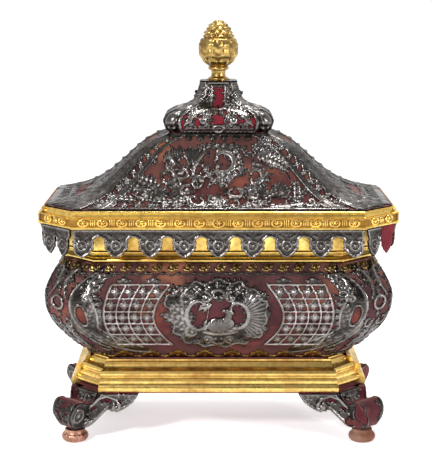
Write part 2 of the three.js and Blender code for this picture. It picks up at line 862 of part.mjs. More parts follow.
function lanternRing(share, grow = 0) {
  const halfX = lanternStation(share);
  const narrow = lanternBulgeDepth / lanternBulge;
  const halfY = halfX * (narrow + (0.84 - narrow) * share);
  const cant = Math.min(halfX, halfY) * 0.34;
  return plan(halfX + grow, halfY + grow, cant + cantShare * grow, lanternBottom + lanternHeight * share);
}

const lanternShell = shellOver(lanternRing, lanternShares);

function lanternMounts() {
  const z = (share) => lanternBottom + lanternHeight * share;
  const wide = lanternBulge * 0.85;
  const belt = [[-wide, z(0.005)], [wide, z(0.005)], [wide, z(0.08)], [-wide, z(0.08)]];
  const straps = [[0.005, 0.85], [0.23, 1], [0.55, 0.5], [0.995, 0.45]];
  const solids = [];
  for (const turn of [front, right, back, left]) {
    const corner = turn + diagonal;
    const edge = straps.map(([share, wideness]) => {
      const ring = lanternRing(share);
      return { half: strapHalf * wideness, shift: cornerShift(corner, ring[2].x, ring[4].y), z: z(share) };
    });
    const strap = [
      ...edge.map((at) => [at.shift + at.half, at.z]),
      ...edge.map((at) => [at.shift - at.half, at.z]).reverse(),
    ];
    solids.push(standing(belt, turn), standing(strap, corner));
  }
  return geometryOf(join(solids).intersect(lanternShell));
}

function orient(points) {
  const area = THREE.ShapeUtils.area(points.map(([u, v]) => new THREE.Vector2(u, v)));
  return area < 0 ? points.reverse() : points;
}

// Finial: a leafy calyx round a knobbly cone, on a ring, neck and disc
function finial() {
  const base = lanternTop + clearance;
  const sides = 12;
  const stations = [
    [14.7, 0], [14.7, 2.5], [10.3, 5], [10.3, 13], [14, 14], [14, 17.5], [13, 18.5],
    [22, 25], [27, 33], [28.2, 41], [27, 49], [25, 56.5], [20.5, 57.5], [20, 62], [17.6, 68],
    [13, 75], [6, 81],
  ];
  const drawnHeight = stations[stations.length - 1][1];
  const rings = stations.map(([radius, rise], i) => {
    const leafy = rise > 20 && rise < 57;
    const knobbly = rise > 57;
    return Array.from({ length: sides }, (_, j) => {
      const odd = (j + (knobbly ? i : 0)) % 2;
      const lobe = leafy ? 0.05 : knobbly ? 0.09 : 0;
      const r = radius * (finialEgg / 28.2) * (1 - lobe * odd);
      const angle = (2 * Math.PI * j) / sides;
      const z = base + (rise * finialHeight) / drawnHeight;
      return new THREE.Vector3(r * Math.cos(angle), r * Math.sin(angle), z);
    });
  });
  return loft(rings);
}

const sideNames = [
  "front", "front_right", "right", "back_right", "back", "back_left", "left", "front_left",
];

addPiece("base_board", baseBoard(), "brightVelvet");
addPiece("casket_body", casketBody(), "velvet");
addPiece("lid_roof", lidRoof(), "velvet");
sideNames.forEach((name, face) => {
  addPiece(`plinth_${name}`, plinthStrip(face), "gilt");
  addPiece(`cornice_${name}`, corniceStrip(face), "gilt");
  addPiece(`lambrequin_${name}`, lambrequin(face), "silver");
});

const cornerX = corniceWidth / 2 - plinthInset;
const cornerY = corniceDepth / 2 - plinthInset;
const footShape = foot();
for (const [name, signX, signY] of [
  ["front_left", -1, -1], ["front_right", 1, -1], ["back_left", -1, 1], ["back_right", 1, 1],
]) {
  const placed = mirrored(footShape, -signX, -signY);
  placed.translate(signX * cornerX, signY * cornerY, 0);
  addPiece(`foot_${name}`, placed, "silver");
  const bun = bunFoot();
  bun.translate(signX * (cornerX - bunOffset), signY * (cornerY - bunOffset), 0);
  addPiece(`bun_foot_${name}`, bun, "copper");
}

addPiece("rim_moulding", rimMoulding(), "gilt");
addPiece("leaf_border", leafBorder(), "gilt");
addPiece("flower_border", flowerBorder(), "silver");
addPiece("lamb_cartouche", lambCartouche(), "silver");
addPiece("trellis_left", trellis(-1), "silver");
addPiece("trellis_right", trellis(1), "silver");
const endHalf = corniceDepth / 2 - endMargin;
addPiece("cartouche_back", frameOnly(back, cartoucheHalf * 1.18, cartoucheRise * 0.92, 9), "silver");
addPiece("cartouche_left", frameOnly(left, endHalf, cartoucheRise * 0.85, 7), "silver");
addPiece("cartouche_right", frameOnly(right, endHalf, cartoucheRise * 0.85, 7), "silver");
const cornerTurns = {
  front_right: diagonal, back_right: 3 * diagonal, back_left: -3 * diagonal, front_left: -diagonal,
};
for (const [name, turn] of Object.entries(cornerTurns)) {
  addPiece(`corner_mount_${name}`, cornerMount(turn), "silver");
  addPiece(`hip_mount_${name}`, hipMount(turn), "silver");
}
addPiece("roof_mount_front", roofMount(front, roofScrolls(), 5), "silver");
addPiece("roof_mount_back", roofMount(back, plainScrolls(back), 0), "silver");
addPiece("roof_mount_left", roofMount(left, plainScrolls(left), 0), "silver");
addPiece("roof_mount_right", roofMount(right, plainScrolls(right), 0), "silver");
addPiece("lantern", loft(lanternShares.map((share) => lanternRing(share))), "brightVelvet");
addPiece("lantern_mounts", lanternMounts(), "silver");
addPiece("finial", finial(), "gilt");

export default model;
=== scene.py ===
# Reliquary casket: worn velvet, beaten silver and gilt mouldings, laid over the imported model
import json
import math

import bpy
import numpy as np
from mathutils import Matrix, Vector

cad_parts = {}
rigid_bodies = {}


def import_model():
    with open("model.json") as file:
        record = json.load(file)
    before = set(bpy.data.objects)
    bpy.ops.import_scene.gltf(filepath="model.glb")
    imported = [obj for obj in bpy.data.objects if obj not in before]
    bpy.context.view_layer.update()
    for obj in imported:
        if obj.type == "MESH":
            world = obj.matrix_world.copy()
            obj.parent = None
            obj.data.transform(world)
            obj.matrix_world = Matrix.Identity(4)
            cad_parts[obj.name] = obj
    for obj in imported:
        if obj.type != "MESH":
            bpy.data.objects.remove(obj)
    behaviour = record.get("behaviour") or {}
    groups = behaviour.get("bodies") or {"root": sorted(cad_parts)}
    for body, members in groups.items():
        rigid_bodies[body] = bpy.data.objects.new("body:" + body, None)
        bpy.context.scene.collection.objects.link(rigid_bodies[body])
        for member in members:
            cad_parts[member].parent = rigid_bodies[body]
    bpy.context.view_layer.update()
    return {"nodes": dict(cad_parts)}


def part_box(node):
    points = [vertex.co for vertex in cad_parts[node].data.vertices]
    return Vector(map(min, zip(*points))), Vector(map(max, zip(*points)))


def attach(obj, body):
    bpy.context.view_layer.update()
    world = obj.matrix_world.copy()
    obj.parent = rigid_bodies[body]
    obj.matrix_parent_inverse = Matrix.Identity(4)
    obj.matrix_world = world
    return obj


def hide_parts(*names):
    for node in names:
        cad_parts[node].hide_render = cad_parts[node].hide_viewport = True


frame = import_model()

mm = 0.001
eighth = math.pi / 4
root2 = math.sqrt(2)
chance = np.random.default_rng(11)


def boxOf(node):
    # The corners of a node's box, in millimetres
    low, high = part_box(node)
    return np.array(low) / mm, np.array(high) / mm


def upright(node):
    low, high = boxOf(node)
    return low[2], high[2]


# Places read from the frame, in millimetres
corniceX, corniceY = boxOf("cornice_right")[1][0], -boxOf("cornice_front")[0][1]
corniceLow, corniceTop = upright("cornice_front")
plinthLow, plinthTop = upright("plinth_front")
bodyLow, mouth = upright("casket_body")
lidLow, deck = upright("lid_roof")
lanternLow, lanternTop = upright("lantern")
footLow, footTop = upright("foot_front_left")
eave = corniceTop + 1.5

cantShare = 2 - root2  # a cut corner's leg shrinks by this much for each step inwards

body = {
    "belly": 95, "height": 144, "footInset": 78, "bellyInset": 10.6, "shoulderInset": 34.5,
    "footCant": 18, "bellyCant": 37, "shoulderCant": 40, "neckInset": 44, "neckCant": 38,
    "wall": 9, "floor": 10, "fullness": 0.8,
}
belly = bodyLow + body["belly"]
shoulder = bodyLow + body["height"]

roof = {
    "eaveInset": 10, "deckX": 63, "deckY": 46.5, "eaveCant": 44.1, "deckCant": 8, "ogee": 0.6, "flare": 1.3,
    "cantFade": 3, "wall": 9, "frameInner": 48, "frameEdge": 14, "lean": 0.19,
}


# Meshes and pieces

def deselect():
    if bpy.context.object and bpy.context.object.mode != "OBJECT":
        bpy.ops.object.mode_set(mode="OBJECT")
    bpy.ops.object.select_all(action="DESELECT")


def finishPiece(piece, material, replaced=(), sharp=None):
    deselect()
    piece.select_set(True)
    bpy.context.view_layer.objects.active = piece
    if sharp is not None:
        bpy.ops.object.shade_smooth_by_angle(angle=math.radians(sharp))
    piece.data.materials.clear()
    piece.data.materials.append(material)
    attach(piece, "root")
    if replaced:
        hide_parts(*replaced)
    deselect()
    return piece


def meshPiece(name, points, faces, material, replaced=(), sharp=40):
    mesh = bpy.data.meshes.new(name)
    mesh.from_pydata((np.asarray(points) * mm).tolist(), [], faces)
    mesh.update()
    piece = bpy.data.objects.new(name, mesh)
    bpy.context.collection.objects.link(piece)
    return finishPiece(piece, material, replaced, sharp)


def gridPiece(name, points, quads, heights, material, replaced=()):
    # A large mesh, filled in one go, with its relief height kept for the painted shade and tarnish in the
    # hollows and the painted highlight along the ridges
    mesh = bpy.data.meshes.new(name)
    mesh.vertices.add(len(points))
    mesh.vertices.foreach_set("co", (points * mm).astype(np.float32).ravel())
    mesh.loops.add(quads.size)
    mesh.loops.foreach_set("vertex_index", quads.astype(np.int32).ravel())
    mesh.polygons.add(len(quads))
    mesh.polygons.foreach_set("loop_start", np.arange(0, quads.size, 4, dtype=np.int32))
    mesh.polygons.foreach_set("loop_total", np.full(len(quads), 4, dtype=np.int32))
    mesh.update(calc_edges=True)
    mesh.polygons.foreach_set("use_smooth", np.ones(len(quads), dtype=bool))
    relief = mesh.attributes.new("relief", "FLOAT", "POINT")
    relief.data.foreach_set("value", heights.astype(np.float32))
    piece = bpy.data.objects.new(name, mesh)
    bpy.context.collection.objects.link(piece)
    return finishPiece(piece, material, replaced)


def loft(rings, closed=False):
    rings = np.asarray(rings)
    levels, count = rings.shape[:2]
    faces = []
    for i in range(levels if closed else levels - 1):
        low, high = i * count, ((i + 1) % levels) * count
        for j in range(count):
            k = (j + 1) % count
            faces.append((low + j, low + k, high + k, high + j))
    if not closed:
        faces.append(tuple(range(count - 1, -1, -1)))
        faces.append(tuple(range((levels - 1) * count, levels * count)))
    return rings.reshape(-1, 3), faces


def runAlong(points):
    # How far each point of a path is from its start
    return np.concatenate([[0], np.cumsum(np.hypot(*np.diff(points, axis=0).T))])


# Points on the eight-sided plan: side 0 is the front, 1 the cut corner to its right, and so on round

sideNames = ["front", "front_right", "right", "back_right", "back", "back_left", "left", "front_left"]


def halfLength(side, hx, hy, cant):
    # From the middle of a side to its corner
    if side % 2:
        return cant / root2
    return (hx if side in (0, 4) else hy) - cant


def wrap(side, u, hx, hy, cant, soften=5.0):
    # Points along a side, folded on round its corners, and the way each one faces
    turn = side * eighth
    length = halfLength(side, hx, hy, cant)
    if side % 2:
        signX = 1 if side in (1, 3) else -1
        signY = -1 if side in (1, 7) else 1
        cx, cy = signX * (hx - cant / 2), signY * (hy - cant / 2)
    else:
        reach = hy if side in (0, 4) else hx
        cx, cy = reach * math.sin(turn), -reach * math.cos(turn)
    sign = np.sign(u)
    over = np.clip(np.abs(u) - length, 0, None) * sign
    flat = u - over
    following = turn + sign * eighth
    x = cx + flat * math.cos(turn) + over * np.cos(following)
    y = cy + flat * math.sin(turn) + over * np.sin(following)
    facing = turn + sign * eighth * np.clip((np.abs(u) - length) / soften + 0.5, 0, 1)
    return x, y, np.sin(facing), -np.cos(facing)


def spotOn(side, u, hx, hy, cant):
    x, y, _, _ = wrap(side, np.array([u]), hx, hy, cant)
    return x[0], y[0]


def evenLevels(low, high, cell, outline):
    fine = np.linspace(low, high, 600)
    run = runAlong(np.stack(outline(fine), -1))
    count = max(3, int(round(run[-1] / cell)) + 1)
    return np.interp(np.linspace(0, run[-1], count), run, fine)


def planRing(hx, hy, cant, z, perSide=2, easing=2.0):
    points = []
    for side in range(8):
        length = halfLength(side, hx, hy, cant)
        us = np.linspace(-length + easing, length - easing, perSide)
        x, y, _, _ = wrap(side, us, hx, hy, cant)
        points += [(px, py, z) for px, py in zip(x, y)]
    return points


def insetRing(inset, cant, z, perSide=2, easing=2.0):
    return planRing(corniceX - inset, corniceY - inset, cant, z, perSide, easing)


def bodyAt(z):
    z = np.asarray(z, float)
    low = z < belly
    span = np.where(low, body["belly"], body["height"] - body["belly"])
    reach = np.clip(np.abs(z - belly) / span, 0, 1)
    edgeInset = np.where(low, body["footInset"], body["shoulderInset"])
    edgeCant = np.where(low, body["footCant"], body["shoulderCant"])
    swell = np.clip(np.cos(reach * math.pi / 2), 1e-4, 1) ** np.where(low, body["fullness"], 1)
    inset = edgeInset - (edgeInset - body["bellyInset"]) * swell
    cant = edgeCant + (body["bellyCant"] - edgeCant) * swell
    steep = (edgeInset - body["bellyInset"]) * math.pi / 2 / span * np.sin(reach * math.pi / 2)
    steep = np.minimum(steep * np.where(low, body["fullness"] * swell ** -0.25, 1), 3)
    return inset, cant, np.where(low, -steep, steep)


class BodySkin:
    def levels(self, low, high, cell):
        return evenLevels(low, high, cell, lambda z: (bodyAt(z)[0], z))

    def heights(self, level):
        return level

    def place(self, side, u, level, lift):
        inset, cant, slope = bodyAt(level)
        x, y, nx, ny = wrap(side, u, corniceX - inset, corniceY - inset, cant)
        out = lift / np.sqrt(1 + slope ** 2)
        return np.stack([x + nx * out, y + ny * out, level + slope * out + 0 * u], -1)


def roofAt(t):
    t = np.clip(np.asarray(t, float), 0, 1)
    hx = corniceX - roof["eaveInset"] + (roof["deckX"] - corniceX + roof["eaveInset"]) * t
    hy = corniceY - roof["eaveInset"] + (roof["deckY"] - corniceY + roof["eaveInset"]) * t
    cant = roof["deckCant"] + (roof["eaveCant"] - roof["deckCant"]) * (1 - t) ** roof["cantFade"]
    run = t ** roof["flare"]
    z = eave + (deck - eave) * (run - roof["ogee"] * np.sin(2 * math.pi * run) / (2 * math.pi))
    return hx, hy, cant, z


def roofUp(t):
    # How high a place on the roof looks from the front, above the eave: its rise and its lean away
    _, hy, _, z = roofAt(t)
    return z - eave + roof["lean"] * (corniceY - roof["eaveInset"] - hy)


roofTop = float(roofUp(1))


class RoofSkin:
    def levels(self, low, high, cell):
        return evenLevels(low, high, cell, lambda t: (roofAt(t)[1], roofAt(t)[3]))

    def heights(self, level):
        return roofUp(level)

    def place(self, side, u, level, lift):
        hx, hy, cant, z = roofAt(level)
        ahead, behind = roofAt(level + 0.01), roofAt(level - 0.01)

        def reach(at):
            if side % 2:
                return at[0] + at[1] - at[2]
            return at[1] if side in (0, 4) else at[0]

        run = (reach(behind) - reach(ahead)) / (root2 if side % 2 else 1)
        rise = ahead[3] - behind[3]
        size = np.hypot(rise, run)
        x, y, nx, ny = wrap(side, u, hx, hy, cant)
        out, up = lift * rise / size, lift * run / size
        return np.stack([x + nx * out, y + ny * out, z + up + 0 * u], -1)


lanternShape = {
    "stations": [(0, 66), (0.1, 72.5), (0.23, 75.5), (0.34, 71.5), (0.42, 62), (0.5, 44), (0.58, 34.5),
                 (0.7, 29), (0.85, 26), (1, 24)],
    "narrow": 52 / 75.5, "narrowTop": 0.84, "cant": 0.34, "ease": 6,
}


def lanternProfile():
    shares = np.linspace(0, 1, 201)
    stations = np.array(lanternShape["stations"])
    across = np.interp(shares, stations[:, 0], stations[:, 1])
    ease = lanternShape["ease"]
    padded = np.pad(across, ease, mode="reflect", reflect_type="odd")
    smooth = np.convolve(padded, np.hanning(2 * ease + 1) / np.hanning(2 * ease + 1).sum(), mode="valid")
    return shares, np.minimum(smooth, 75.5)


lanternShares, lanternHalf = lanternProfile()


def lanternAt(share):
    hx = np.interp(share, lanternShares, lanternHalf)
    narrow = lanternShape["narrow"]
    hy = hx * (narrow + (lanternShape["narrowTop"] - narrow) * share)
    return hx, hy, np.minimum(hx, hy) * lanternShape["cant"], lanternLow + (lanternTop - lanternLow) * share


class LanternSkin:
    def levels(self, low, high, cell):
        return evenLevels(low, high, cell, lambda s: (lanternAt(s)[0], lanternAt(s)[3]))

    def heights(self, level):
        return lanternAt(level)[3]

    def place(self, side, u, level, lift):
        hx, hy, cant, z = lanternAt(level)
        step = 0.004
        ahead = lanternAt(np.clip(level + step, 0, 1))
        behind = lanternAt(np.clip(level - step, 0, 1))
        slope = -(ahead[0] - behind[0]) / (ahead[3] - behind[3])
        x, y, nx, ny = wrap(side, u, hx, hy, cant, 8.0)
        out = lift / np.sqrt(1 + slope ** 2)
        return np.stack([x + nx * out, y + ny * out, z + slope * out + 0 * u], -1)


class FlatSkin:
    # An upright plane, as far in from the cornice as stated
    def __init__(self, inset, cant):
        self.inset, self.cant = inset, cant

    def levels(self, low, high, cell):
        return np.arange(low, high + cell, cell)

    def heights(self, level):
        return level

    def place(self, side, u, level, lift):
        x, y, _, _ = wrap(side, 0 * u, corniceX - self.inset, corniceY - self.inset, self.cant)
        turn = side * eighth
        x = x + u * math.cos(turn) + math.sin(turn) * lift
        y = y + u * math.sin(turn) - math.cos(turn) * lift
        return np.stack([x, y, level + 0 * u + 0 * lift], -1)


def smoothOutline(points, times=2):
    # Rounds a closed outline by cutting its corners
    points = np.array(points, float)
    for _ in range(times):
        ahead = np.roll(points, -1, axis=0)
        points = np.stack([points * 0.75 + ahead * 0.25, points * 0.25 + ahead * 0.75], 1).reshape(-1, 2)
    return [tuple(p) for p in points]


# Beaten silver: a height map of domed strokes, pressed into a sheet that follows a skin

def dome(q):
    return np.where(q < 1, np.sqrt(np.clip(1 - q * q, 0, 1)), 1 - q)


def signedDistance(outline, u, z):
    inside = np.zeros(np.broadcast(u, z).shape, bool)
    nearest = np.full(inside.shape, 1e9)
    ends = outline[1:] + outline[:1]
    for (x0, z0), (x1, z1) in zip(outline, ends):
        dx, dz = x1 - x0, z1 - z0
        share = np.clip(((u - x0) * dx + (z - z0) * dz) / (dx * dx + dz * dz + 1e-9), 0, 1)
        nearest = np.minimum(nearest, np.hypot(u - x0 - dx * share, z - z0 - dz * share))
        if z0 != z1:
            inside ^= ((z0 > z) != (z1 > z)) & (u < dx * (z - z0) / dz + x0)
    return np.where(inside, nearest, -nearest)


class Relief:
    def __init__(self, us, zs):
        self.us, self.zs = us, zs
        self.h = np.full((len(zs), len(us)), -5.0)
        self.mirror = 1

    def window(self, left, right, low, high):
        if self.mirror < 0:
            left, right = -right, -left
        i0, i1 = np.searchsorted(self.us, (left, right))
        j0, j1 = np.searchsorted(self.zs, (low, high))
        return self.h[j0:j1, i0:i1], self.us[None, i0:i1] * self.mirror, self.zs[j0:j1, None]

    def press(self, left, right, low, high, shape):
        window, u, z = self.window(left, right, low, high)
        if window.size:
            np.maximum(window, shape(u, z), out=window)

    def pressRound(self, x, z, reach, shape):
        self.press(x - reach, x + reach, z - reach, z + reach, shape)

    def pierce(self, left, right, low, high, shape):
        window, u, z = self.window(left, right, low, high)
        if window.size:
            np.minimum(window, shape(u, z), out=window)

    def ridge(self, points, widths, height, groove=0.0):
        widest = max(widths)
        for (x0, z0), (x1, z1), w0, w1 in zip(points[:-1], points[1:], widths[:-1], widths[1:]):
            dx, dz = x1 - x0, z1 - z0
            margin = widest + 2

            def shape(u, z):
                share = np.clip(((u - x0) * dx + (z - z0) * dz) / (dx * dx + dz * dz + 1e-9), 0, 1)
                w = w0 + (w1 - w0) * share
                q = np.hypot(u - x0 - dx * share, z - z0 - dz * share) / w
                channel = 1 - groove * np.exp(-(q * 2.4) ** 2)
                return height * (0.55 + 0.45 * w / widest) * dome(q) * channel

            self.press(min(x0, x1) - margin, max(x0, x1) + margin,
                       min(z0, z1) - margin, max(z0, z1) + margin, shape)

    def pearl(self, x, z, radius, height):
        self.press(x - radius - 2, x + radius + 2, z - radius - 2, z + radius + 2,
                   lambda u, v: height * dome(np.hypot(u - x, v - z) / radius))

    def cScroll(self, x, z, radius, back, span=138, width=2.2, height=2.6, squash=0.9, teeth=0, reach=7.0):
        # A C whose back points the given way, its ends curled in to beads
        shares = np.linspace(-1, 1, 27)
        angles = np.radians(back + shares * span)
        radii = radius * (1 - 0.5 * np.abs(shares) ** 5)
        points = list(zip(x + radii * np.cos(angles), z + squash * radii * np.sin(angles)))
        widths = list(width * (1 - 0.4 * np.abs(shares) ** 3))
        for i in range(teeth):
            angle = back + span * 0.8 * (2 * (i + 0.5) / teeth - 1)
            turn = math.radians(angle)
            self.leaf(x + radius * math.cos(turn), z + squash * radius * math.sin(turn),
                      angle + (i - teeth / 2) * 2, reach + width, reach * 0.62, height * 0.8, 2)
        self.ridge(points, widths, height, 0.5)
        for px, pz in (points[0], points[-1]):
            self.pearl(px, pz, width * 0.95, height * 0.95)

    def spiral(self, x, z, radius, start, sweep, width=1.8, height=2.4, squash=0.9, end=0.2):
        shares = np.linspace(0, 1, max(10, int(abs(sweep) / 14)))
        angles = np.radians(start + shares * sweep)
        radii = radius * (1 - (1 - end) * shares)
        points = list(zip(x + radii * np.cos(angles), z + squash * radii * np.sin(angles)))
        widths = list(width * (0.6 + 0.4 * np.sin(math.pi * np.clip(shares + 0.2, 0, 1))))
        self.ridge(points, widths, height, 0.35)
        self.pearl(x, z, max(width, radius * 0.28), height)

    def leaf(self, x, z, angle, length, width, height=2.2, lobes=4, bend=0):
        turn = math.radians(angle)
        arc = length / math.radians(bend) if bend else 0

        def shape(u, v):
            s = (u - x) * math.cos(turn) + (v - z) * math.sin(turn)
            t = -(u - x) * math.sin(turn) + (v - z) * math.cos(turn)
            if arc:
                side, far = math.copysign(1, arc), abs(arc)
                tt = t * side
                s, t = np.arctan2(s, far - tt) * far, (far - np.hypot(s, far - tt)) * side
            share = s / length
            swell = np.sin(math.pi * np.clip(0.12 + 0.88 * share, 0, 1)) ** 0.7
            ripple = 0.5 + 0.5 * np.cos(2 * math.pi * (lobes * share - 1.1 * np.abs(t) / width))
            half = width / 2 * swell * (0.68 + 0.32 * ripple) + 0.05
            vein = 1 - 0.4 * np.exp(-(t / (0.06 * width + 0.3)) ** 2)
            h = height * dome(np.abs(t) / half) * (0.62 + 0.38 * ripple) * vein
            return np.minimum(h, np.minimum(share + 0.02, 1 - share) * length)

        self.pressRound(x, z, length + 3, shape)

    def fan(self, x, z, radius, start, end, ribs, height=2.2, squash=0.9):
        def shape(u, v):
            dz = (v - z) / squash
            rho = np.hypot(u - x, dz)
            angle = (np.degrees(np.arctan2(dz, u - x)) - start) % 360
            share = angle / (end - start)
            rib = np.abs(np.sin(math.pi * ribs * share)) ** 0.6
            q = rho / (radius * (0.82 + 0.18 * rib))
            h = height * (0.35 + 0.65 * np.clip(q, 0, 1)) * (0.3 + 0.7 * rib) * dome(q ** 2)
            side = np.minimum(share, 1 - share) * rho * math.radians(end - start)
            return np.where(share <= 1, np.minimum(h, side * 2), -2)

        self.pressRound(x, z, radius + 3, shape)

    def flower(self, x, z, radius, petals=5, height=2.4, turn=90):
        def shape(u, v):
            rho = np.hypot(u - x, v - z)
            angle = np.arctan2(v - z, u - x) - math.radians(turn)
            petal = 0.5 + 0.5 * np.cos(petals * angle)
            q = rho / (radius * (0.66 + 0.34 * petal))
            ring = 1 - 0.55 * np.exp(-(rho / radius * 3 - 1.2) ** 2 * 4)
            h = height * dome(q) * (0.45 + 0.55 * petal ** 0.5) * ring
            return np.maximum(h, height * 1.1 * dome(rho / (radius * 0.3)))

        self.pressRound(x, z, radius + 3, shape)

    def oval(self, x, z, rx, rz, width, height=2.2):
        def shape(u, v):
            q = np.hypot((u - x) / rx, (v - z) / rz)
            return height * dome(np.abs(q - 1) * (rx + rz) / 2 / width)

        self.press(x - rx - width - 3, x + rx + width + 3, z - rz - width - 3, z + rz + width + 3, shape)

    def hole(self, x, z, rx, rz):
        self.pierce(x - rx - 2, x + rx + 2, z - rz - 2, z + rz + 2,
                    lambda u, v: (np.hypot((u - x) / rx, (v - z) / rz) - 1) * min(rx, rz))

    def plate(self, outline, thick=0.8, rim=0.0, rimWidth=1.2, texture=0.0):
        us, zs = zip(*outline)

        def shape(u, v):
            d = signedDistance(outline, u, v)
            h = np.minimum(d * 2, thick) + rim * np.exp(-((d - rimWidth) / rimWidth) ** 2)
            grain = np.sin(u * 1.9 + np.sin(v * 1.3) * 2) * np.sin(v * 2.3 + np.sin(u * 0.9) * 2)
            return np.where(d > 0, h + texture * np.clip(grain, 0, 1), d)

        self.press(min(us) - 2, max(us) + 2, min(zs) - 2, max(zs) + 2, shape)

    def fringe(self, spacing, length, width, height=1.5, low=-1e9, high=1e9, skip=0.0, clear=(0, 0, 0, 0)):
        # Small leaves along the edges of what is drawn so far, pointing outwards
        gz, gu = np.gradient(self.h, self.zs[1] - self.zs[0], self.us[1] - self.us[0])
        inside = self.h > 0.2
        enclosed = inside[:-2, 1:-1] & inside[2:, 1:-1] & inside[1:-1, :-2] & inside[1:-1, 2:]
        rim = inside[1:-1, 1:-1] & ~enclosed
        rows, cols = np.nonzero(rim)
        order = chance.permutation(len(rows))
        kept = []
        for k in order:
            j, i = rows[k] + 1, cols[k] + 1
            x, z = self.us[i], self.zs[j]
            if not low < z < high or chance.random() < skip:
                continue
            if abs(x - clear[0]) < clear[2] and abs(z - clear[1]) < clear[3]:
                continue
            if any(abs(x - px) < spacing and abs(z - pz) < spacing for px, pz in kept):
                continue
            kept.append((x, z))
            away = math.degrees(math.atan2(-gz[j, i], -gu[j, i])) + chance.normal() * 25
            self.leaf(x - 1.5 * math.cos(math.radians(away)), z - 1.5 * math.sin(math.radians(away)), away,
                      length * (0.8 + 0.4 * chance.random()), width, height, 2)

    def fill(self, spacing, low, high, left, right, height=1.7):
        # Small leaves and curls in the ground that is still empty
        for z in np.arange(low, high, spacing):
            for x in np.arange(left, right, spacing):
                px, pz = x + chance.uniform(-0.3, 0.3) * spacing, z + chance.uniform(-0.3, 0.3) * spacing
                clear = spacing * 0.42
                window, _, _ = self.window(px - clear, px + clear, pz - clear, pz + clear)
                if window.size == 0 or (window > 0).any():
                    continue
                turn = chance.uniform(0, 360)
                if chance.random() < 0.4:
                    self.cScroll(px, pz, spacing * 0.36, turn, 120, 1.2, height, teeth=3, reach=3)
                else:
                    reach, way = spacing * 0.5, math.radians(turn)
                    self.leaf(px - reach * math.cos(way), pz - reach * math.sin(way), turn, spacing, reach,
                              height, 3, chance.uniform(-50, 50))

    def both(self, draw):
        for self.mirror in (1, -1):
            draw(self)
        self.mirror = 1


def roughen(shape, cell, size, amount):
    # Smooth seeded unevenness, a few millimetres across
    rows, cols = max(3, int(shape[0] * cell / size)), max(3, int(shape[1] * cell / size))
    coarse = chance.normal(size=(rows + 2, cols + 2))
    r = np.linspace(0, rows, shape[0])
    c = np.linspace(0, cols, shape[1])
    r0, c0 = np.floor(r).astype(int), np.floor(c).astype(int)
    fr, fc = (r - r0)[:, None], (c - c0)[None, :]
    fr, fc = fr * fr * (3 - 2 * fr), fc * fc * (3 - 2 * fc)
    low = coarse[r0][:, c0] * (1 - fc) + coarse[r0][:, c0 + 1] * fc
    high = coarse[r0 + 1][:, c0] * (1 - fc) + coarse[r0 + 1][:, c0 + 1] * fc
    return amount * (low * (1 - fr) + high * fr)


def strokes(relief, base=0.0):
    # A relief's strokes, drawn from a height of their own
    def raised(stroke):
        return lambda x, z, *rest, **named: stroke(x, base + z, *rest, **named)

    kinds = (relief.cScroll, relief.spiral, relief.fan, relief.leaf, relief.flower, relief.pearl, relief.oval,
             relief.hole)

    def ridge(points, *rest):
        relief.ridge([(x, base + z) for x, z in points], *rest)

    return (*map(raised, kinds), ridge)


def cellAt(side, near, far):
    # Sides that are seen from the front have the finer grid
    return near if side in (0, 1, 7) else far


sheet = {"coarseness": 1.27, "raised": 0.3, "thinnest": 0.15, "lumps": 2.6, "reach": 0.7}


def beatenSheet(name, skin, side, left, right, low, high, cell, draw, replaced=(), slot="silver",
                material=None, under=-0.8, scale=1.0, hammer=0.12):
    cell *= sheet["coarseness"]
    levels = skin.levels(low, high, cell)
    us = np.arange(left, right + cell, cell)
    relief = Relief(us, skin.heights(levels))
    draw(relief)
    h = relief.h
    lumps = roughen(h.shape, cell, sheet["lumps"], hammer)
    h = np.where(h > sheet["raised"], np.maximum(h + lumps, sheet["thinnest"]), h)
    h[0], h[-1], h[:, 0], h[:, -1] = -1, -1, -1, -1
    inside = h > 0
    cells = inside[:-1, :-1] | inside[1:, :-1] | inside[:-1, 1:] | inside[1:, 1:]
    used = np.zeros(h.shape, bool)
    for a, b in ((0, 0), (0, 1), (1, 0), (1, 1)):
        used[a:h.shape[0] - 1 + a, b:h.shape[1] - 1 + b] |= cells
    # The rim of the sheet is drawn onto the line where the relief dies away
    gz, gu = np.gradient(h, cell)
    size = np.maximum(gz ** 2 + gu ** 2, 0.3)
    push = np.where(used & ~inside, -h, 0)
    most = sheet["reach"] * cell
    u = us[None, :] + np.clip(push * gu / size, -most, most)
    level = levels[:, None] + 0 * u
    lift = np.where(inside, h * scale, np.clip(h, under, 0))
    top = skin.place(side, u, level, lift)
    base = skin.place(side, u, level, np.full(h.shape, float(under)))
    topIndex = np.full(h.shape, -1)
    topIndex[used] = np.arange(used.sum())
    baseIndex = topIndex.copy()
    own = used & inside
    baseIndex[own] = used.sum() + np.arange(own.sum())
    points = np.concatenate([top[used], base[own]])
    heights = np.concatenate([lift[used], np.full(own.sum(), float(under))])
    rows, cols = np.nonzero(cells)

    def corners(index, order):
        return np.stack([index[rows + a, cols + b] for a, b in order], -1)

    quads = np.concatenate([
        corners(topIndex, ((0, 0), (0, 1), (1, 1), (1, 0))),
        corners(baseIndex, ((0, 0), (1, 0), (1, 1), (0, 1))),
    ])
    return gridPiece(name, points, quads, heights, material or silver, replaced)


# Materials

def give(node, values):
    for name, value in values.items():
        node.inputs[name].default_value = value


def grey(level):
    return (level, level, level)


def noiseInto(tree, scale, detail, roughness, where=(0, 0, 0)):
    mapping, noise = tree.nodes.new("ShaderNodeMapping"), tree.nodes.new("ShaderNodeTexNoise")
    give(mapping, {"Location": where})
    give(noise, {"Scale": scale, "Detail": detail, "Roughness": roughness})
    tree.links.new(tree.nodes.new("ShaderNodeTexCoord").outputs["Object"], mapping.inputs["Vector"])
    tree.links.new(mapping.outputs["Vector"], noise.inputs["Vector"])
    return noise.outputs["Fac"]


